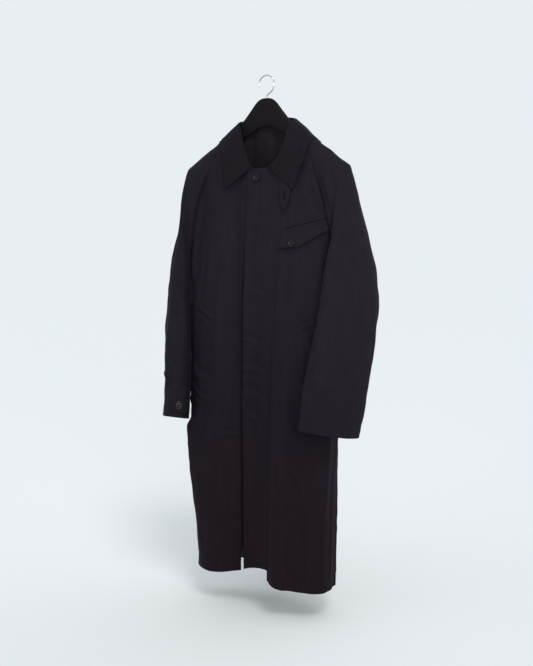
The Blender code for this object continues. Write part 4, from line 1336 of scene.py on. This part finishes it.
# Buttons
def facing_at(surface, a, b, step_a, step_b, outward):
    """Unit normal of a surface at one place, turned outward"""
    across = surface(a + step_a, b) - surface(a - step_a, b)
    along = surface(a, b + step_b) - surface(a, b - step_b)
    facing = unit(np.cross(across, along))
    return facing if facing @ outward > 0.0 else -facing


def round_edges(obj, width, segments, angle):
    """Bevel the edges of a piece that are sharper than an angle in degrees"""
    rounding = obj.modifiers.new("rounding", "BEVEL")
    rounding.width, rounding.segments, rounding.limit_method = width, segments, "ANGLE"
    rounding.angle_limit = math.radians(angle)
    bpy.ops.object.modifier_apply(modifier="rounding")


def drill_eyes(obj, radius, gap):
    """Four holes right through a button"""
    for x in (-gap, gap):
        for y in (-gap, gap):
            bpy.ops.mesh.primitive_cylinder_add(vertices=EYE_SIDES, radius=radius * EYE_R,
                                                depth=BUTTON_THICK * EYE_DEPTH, location=(x, y, 0.0))
            drill = bpy.context.object
            bpy.context.view_layer.objects.active = obj
            hole = obj.modifiers.new("hole", "BOOLEAN")
            hole.operation, hole.object, hole.solver = "DIFFERENCE", drill, "EXACT"
            bpy.ops.object.modifier_apply(modifier="hole")
            bpy.data.objects.remove(drill)


def strands(name, radius, gap):
    """Six threads through the eyes of a button"""
    strand = radius * STRAND_R
    places = []
    for x in (-gap, gap):
        for side in (-1, 0, 1):
            places.append((x + side * strand * STRAND_SPACING, 0.0, BUTTON_THICK * STRAND_HEIGHT))
    along, up = np.tile((0.0, 1.0, 0.0), (len(places), 1)), np.tile(UPWARD, (len(places), 1))
    return beads(name, np.array(places), along, up, gap * STRAND_LENGTH, strand, thread)


def button(node, point, facing, radius):
    """A four-hole button with a sunk middle and a rounded rim, sewn on with thread"""
    bpy.ops.mesh.primitive_cylinder_add(vertices=BUTTON_SIDES, radius=radius, depth=BUTTON_THICK,
                                        location=(0.0, 0.0, BUTTON_THICK / 2.0))
    obj = bpy.context.object
    obj.name = obj.data.name = node + "_horn"
    bpy.ops.object.transform_apply(location=True, rotation=False, scale=False)
    bpy.ops.object.mode_set(mode="EDIT")
    bpy.ops.mesh.select_mode(type="FACE")
    bpy.ops.mesh.select_all(action="DESELECT")
    bpy.ops.object.mode_set(mode="OBJECT")
    for polygon in obj.data.polygons:
        polygon.select = polygon.normal.z > FACING_UP
    bpy.ops.object.mode_set(mode="EDIT")
    bpy.ops.mesh.inset(thickness=radius * RIM_WIDTH)
    bpy.ops.mesh.inset(thickness=radius * RIM_SLOPE)
    bpy.ops.transform.translate(value=(0.0, 0.0, -BUTTON_THICK * MIDDLE_SUNK))
    bpy.ops.mesh.inset(thickness=radius * MIDDLE_INSET)
    bpy.ops.object.mode_set(mode="OBJECT")
    round_edges(obj, radius * RIM_ROUND, RIM_SEGMENTS, RIM_ANGLE)
    gap = radius * EYE_SPACING
    drill_eyes(obj, radius, gap)
    obj.data.materials.clear()
    obj.data.materials.append(horn)
    bpy.ops.object.select_all(action="DESELECT")
    obj.select_set(True)
    bpy.ops.object.shade_smooth_by_angle(angle=math.radians(SMOOTH_ANGLE))
    threads = strands(node + "_thread", radius, gap)
    bpy.ops.object.select_all(action="DESELECT")
    obj.select_set(True)
    threads.select_set(True)
    bpy.context.view_layer.objects.active = obj
    bpy.ops.object.join()
    obj.rotation_euler = Vector(facing).to_track_quat("Z", "Y").to_euler()
    obj.location = point
    bpy.ops.object.transform_apply(location=True, rotation=True, scale=True)
    bpy.ops.object.select_all(action="DESELECT")
    place(obj, node)


def buttons():
    """One at the throat, one on the chest flap and one on each cuff tab"""
    lift = ON_TOP + CLOTH + BUTTON_LIFT
    on_flap = lift + FLAP_STAND * CHEST_BUTTON_STAND
    for node, x, z, rise, radius in (
        ("neck_button", NECK_BUTTON_X, NECK_BUTTON_Z, NECK_BUTTON_LIFT, NECK_BUTTON_R),
        ("chest_button", CHEST_BUTTON_X, CHEST_BUTTON_Z, on_flap, CHEST_BUTTON_R),
    ):
        turn = turn_at(x, z)
        facing = facing_at(plain_torso, turn, z, TURN_STEP, HEIGHT_STEP, TO_THE_FRONT)
        button(node, torso(turn, z, rise), facing, radius)
    for tab in CUFF_TABS:
        def surface(level, way):
            return plain_sleeve(level, way, 0.0, tab.side)

        point = sleeve(CUFF_TAB_AT, tab.button_way, lift, tab.side)
        outward = point - sleeve(CUFF_TAB_AT, tab.button_way, 0.0, tab.side)
        facing = facing_at(surface, CUFF_TAB_AT, tab.button_way, LEVEL_STEP, WAY_STEP, outward)
        button("cuff_button_" + tab.side, point, facing, CUFF_BUTTON_R)


# Hanger
def leave_editing():
    """Turn all faces of the edited piece outward and leave edit mode"""
    bpy.ops.mesh.select_all(action="SELECT")
    bpy.ops.mesh.normals_make_consistent(inside=False)
    bpy.ops.object.mode_set(mode="OBJECT")


def dressed(obj, material, node):
    """Smooth a finished hanger piece, give it its material and put it in its place"""
    bpy.ops.object.shade_smooth()
    obj.data.materials.append(material)
    bpy.ops.object.select_all(action="DESELECT")
    place(obj, node)


def hanger():
    """Shaped bar drawn out of one rounded section, station by station, from end to end"""
    stations = [Bar(-row.x, *row[1:]) for row in HANGER[:0:-1]] + list(HANGER)
    bpy.ops.mesh.primitive_circle_add(vertices=BAR_SIDES, radius=1.0, fill_type="NGON",
                                      location=(0.0, 0.0, 0.0), rotation=(0.0, math.radians(90.0), 0.0))
    obj = bpy.context.object
    obj.name = obj.data.name = "hanger_bar_moulded"
    bpy.ops.object.transform_apply(location=True, rotation=True, scale=True)
    for vertex in obj.data.vertices:
        vertex.co.y = power(vertex.co.y, BAR_SQUARENESS)
        vertex.co.z = power(vertex.co.z, BAR_SQUARENESS)
    first = stations[0]
    bpy.ops.object.mode_set(mode="EDIT")
    bpy.ops.mesh.select_all(action="SELECT")
    bpy.ops.transform.resize(value=(1.0, first.half_thick, first.height / 2.0),
                             center_override=(0.0, 0.0, 0.0))
    bpy.ops.transform.translate(value=(first.x, 0.0, first.top_z - first.height / 2.0))
    for before, after in zip(stations, stations[1:]):
        low, high = before.top_z - before.height / 2.0, after.top_z - after.height / 2.0
        step = after.x - before.x, 0.0, high - low
        growth = 1.0, after.half_thick / before.half_thick, after.height / before.height
        bpy.ops.mesh.extrude_region_move(TRANSFORM_OT_translate={"value": step})
        bpy.ops.transform.resize(value=growth, center_override=(after.x, 0.0, high))
    leave_editing()
    smoothing = obj.modifiers.new("smoothing", "SUBSURF")
    smoothing.levels = smoothing.render_levels = BAR_SMOOTHING
    bpy.ops.object.modifier_apply(modifier="smoothing")
    dressed(obj, bar, "hanger_bar")


def hook():
    """Bright wire: a round section turned round the bow, then led down into the bar"""
    tip, foot = math.radians(BOW_TIP_TURN), math.radians(BOW_FOOT_TURN)
    bpy.ops.mesh.primitive_circle_add(vertices=WIRE_SIDES, radius=WIRE_R, fill_type="NGON",
                                      location=(BOW_R * math.cos(tip), 0.0, BOW_Z + BOW_R * math.sin(tip)),
                                      rotation=(0.0, math.pi - tip, 0.0))
    obj = bpy.context.object
    obj.name = obj.data.name = "hanger_hook_wire"
    bpy.ops.object.transform_apply(location=True, rotation=True, scale=True)
    bpy.ops.object.mode_set(mode="EDIT")
    bpy.ops.mesh.select_all(action="SELECT")
    bpy.ops.mesh.spin(steps=BOW_STEPS, angle=foot - tip, center=(0.0, 0.0, BOW_Z), axis=(0.0, 1.0, 0.0))
    here = Vector((BOW_R * math.cos(foot), 0.0, BOW_Z + BOW_R * math.sin(foot)))
    for x, z in HOOK_LEAD:
        there = Vector((x, 0.0, z))
        bpy.ops.mesh.extrude_region_move(TRANSFORM_OT_translate={"value": there - here})
        here = there
    leave_editing()
    round_edges(obj, WIRE_R * WIRE_END_ROUND, WIRE_END_SEGMENTS, WIRE_END_ANGLE)
    dressed(obj, wire, "hanger_hook")


# Materials
def new_material(name):
    """A material with its nodes, links and main shader"""
    material = bpy.data.materials.new(name)
    material.use_nodes = True
    nodes, links = material.node_tree.nodes, material.node_tree.links
    return material, nodes, links, nodes["Principled BSDF"]


def set_inputs(node, values):
    """Set the named inputs of a node"""
    for name, value in values.items():
        node.inputs[name].default_value = value


def twill_material(name, strength, hem_shade=PAINTED_HEM_SHADE):
    """Near-black cotton twill: fine slanting ribs, uneven dye, painted shade towards the hem, a soft sheen
    """
    material, nodes, links, surface = new_material(name)
    where = nodes.new("ShaderNodeTexCoord")
    ribs = nodes.new("ShaderNodeTexWave")
    ribs.wave_type, ribs.bands_direction = "BANDS", "DIAGONAL"
    set_inputs(ribs, {"Scale": RIB_SCALE, "Distortion": RIB_DISTORTION})
    links.new(where.outputs["UV"], ribs.inputs["Vector"])
    warp = nodes.new("ShaderNodeMapping")
    set_inputs(warp, {"Scale": DYE_SCALE})
    links.new(where.outputs["UV"], warp.inputs["Vector"])
    dye = nodes.new("ShaderNodeTexNoise")
    set_inputs(dye, {"Scale": 1.0, "Detail": DYE_DETAIL})
    links.new(warp.outputs["Vector"], dye.inputs["Vector"])
    tones = nodes.new("ShaderNodeValToRGB")
    for stop, position, color in zip(tones.color_ramp.elements, DYE_RANGE, (TWILL_DARK, TWILL_LIGHT)):
        stop.position, stop.color = position, (*(strength * value for value in color), 1.0)
    links.new(dye.outputs["Fac"], tones.inputs["Fac"])
    # Painted shade: by height, the colour is multiplied darker and more wine towards the hem
    height = nodes.new("ShaderNodeSeparateXYZ")
    links.new(where.outputs["Object"], height.inputs["Vector"])
    shade_towards_hem = nodes.new("ShaderNodeMapRange")
    shade_towards_hem.interpolation_type = "SMOOTHSTEP"
    set_inputs(shade_towards_hem, {"From Min": HEM_SHADE_FROM, "From Max": HEM_SHADE_TO})
    links.new(height.outputs["Z"], shade_towards_hem.inputs["Value"])
    blend = nodes.new("ShaderNodeMix")
    blend.data_type, blend.blend_type = "RGBA", "MULTIPLY"
    links.new(shade_towards_hem.outputs["Result"], blend.inputs["Factor"])
    links.new(tones.outputs["Color"], blend.inputs["A"])
    blend.inputs["B"].default_value = (*hem_shade, 1.0)
    links.new(blend.outputs["Result"], surface.inputs["Base Color"])
    relief = nodes.new("ShaderNodeBump")
    set_inputs(relief, {"Strength": RIB_STRENGTH, "Distance": RIB_HEIGHT})
    links.new(ribs.outputs["Fac"], relief.inputs["Height"])
    links.new(relief.outputs["Normal"], surface.inputs["Normal"])
    set_inputs(surface, {
        "Roughness": 0.80,
        "Specular IOR Level": 0.06,
        "Sheen Weight": 0.01,
        "Sheen Roughness": 0.45,
        "Sheen Tint": (*SHEEN_TINT, 1.0),
    })
    return material


def plain_material(name, color, roughness, metallic=0.0, specular=0.5):
    """One even colour with very fine wear in its gloss"""
    material, nodes, links, surface = new_material(name)
    where = nodes.new("ShaderNodeTexCoord")
    wear = nodes.new("ShaderNodeTexNoise")
    set_inputs(wear, {"Scale": WEAR_SCALE})
    links.new(where.outputs["Object"], wear.inputs["Vector"])
    gloss = nodes.new("ShaderNodeMapRange")
    set_inputs(gloss, {"To Min": roughness * (1.0 - WEAR), "To Max": min(roughness * (1.0 + WEAR), 1.0)})
    links.new(wear.outputs["Fac"], gloss.inputs["Value"])
    links.new(gloss.outputs["Result"], surface.inputs["Roughness"])
    set_inputs(surface, {"Base Color": (*color, 1.0), "Metallic": metallic, "Specular IOR Level": specular})
    return material


# Studio
def aimed(direction):
    """Turn of a lamp or a camera that looks along a direction"""
    return direction.to_track_quat("-Z", "Y").to_euler()


def studio():
    """Pale floor, pale surroundings, soft lights and the camera of the photo's viewing angle"""
    bpy.ops.mesh.primitive_circle_add(vertices=FLOOR_SIDES, radius=FLOOR_R, fill_type="NGON",
                                      location=(0.0, 0.0, FLOOR_Z))
    floor = bpy.context.object
    floor.name = floor.data.name = "studio_floor"
    floor.data.materials.append(plain_material("studio_paper", FLOOR_COLOR, 0.9, specular=0.0))
    world = bpy.data.worlds.new("studio_surroundings")
    bpy.context.scene.world = world
    world.use_nodes = True
    set_inputs(world.node_tree.nodes["Background"], {"Color": (*WORLD_COLOR, 1.0), "Strength": 1.0})
    bpy.ops.object.light_add(type="SUN", location=SUN_FROM)
    sun = bpy.context.object
    sun.name = "soft_window"
    sun.data.energy, sun.data.angle = SUN_STRENGTH, math.radians(SUN_ANGLE)
    sun.rotation_euler = aimed(-Vector(SUN_FROM))
    bpy.ops.object.light_add(type="AREA", location=LAMP_PLACE)
    lamp = bpy.context.object
    lamp.name = "soft_lamp"
    lamp.data.energy, lamp.data.size, lamp.data.spread = LAMP_WATTS, LAMP_SIZE, math.radians(LAMP_SPREAD)
    lamp.rotation_euler = aimed(Vector(LAMP_AIM) - Vector(LAMP_PLACE))
    azimuth, height = math.radians(CAMERA_AZIMUTH), math.radians(CAMERA_HEIGHT)
    level = math.cos(height)
    back = Vector((math.sin(azimuth) * level, -math.cos(azimuth) * level, math.sin(height)))
    bpy.ops.object.camera_add(location=Vector(CAMERA_AIM) + back * CAMERA_DISTANCE)
    camera = bpy.context.object
    camera.rotation_euler = aimed(-back)
    camera.data.sensor_fit, camera.data.sensor_width = "AUTO", CAMERA_SENSOR
    camera.data.lens = CAMERA_LENS
    bpy.context.scene.camera = camera
    bpy.context.scene.view_settings.view_transform = "Standard"
    bpy.context.scene.view_settings.look = "None"
    bpy.ops.object.select_all(action="DESELECT")


twill = twill_material("cotton_twill", 1.0)
collar_twill = twill_material("collar_twill", COLLAR_STRENGTH)
# The sleeves' twill: the same twill with a lighter painted shade towards the hem
sleeve_twill = twill_material("sleeve_twill", 1.0, SLEEVE_PAINTED_HEM_SHADE)
# The lining is partly painted light inside the coat
lining_and_painted_light = plain_material("smooth_lining_and_painted_light", LINING_AND_PAINTED_LIGHT, 0.5, specular=0.15)
thread = plain_material("black_thread", THREAD_COLOR, 0.7, specular=0.12)
# Near-black thread: painted shade of the flap's seam, and of the buttonhole's slit on real buttonhole
# thread
thread_and_painted_shade = plain_material("seam_shade_and_buttonhole_thread", SEAM_SHADE_THREAD_COLOR, 0.8, specular=0.02)
horn = plain_material("polished_horn", HORN_COLOR, 0.17, specular=0.19)
bar = plain_material("matt_moulding", BAR_COLOR, 0.7, specular=0.1)
wire = plain_material("bright_wire", WIRE_COLOR, 0.18, metallic=1.0)
stitch_bead = thread_bead()

body()
sleeves()
collar()
flap()
throat_tab()
welts()
cuff_tabs()
buttons()
hanger()
hook()
studio()
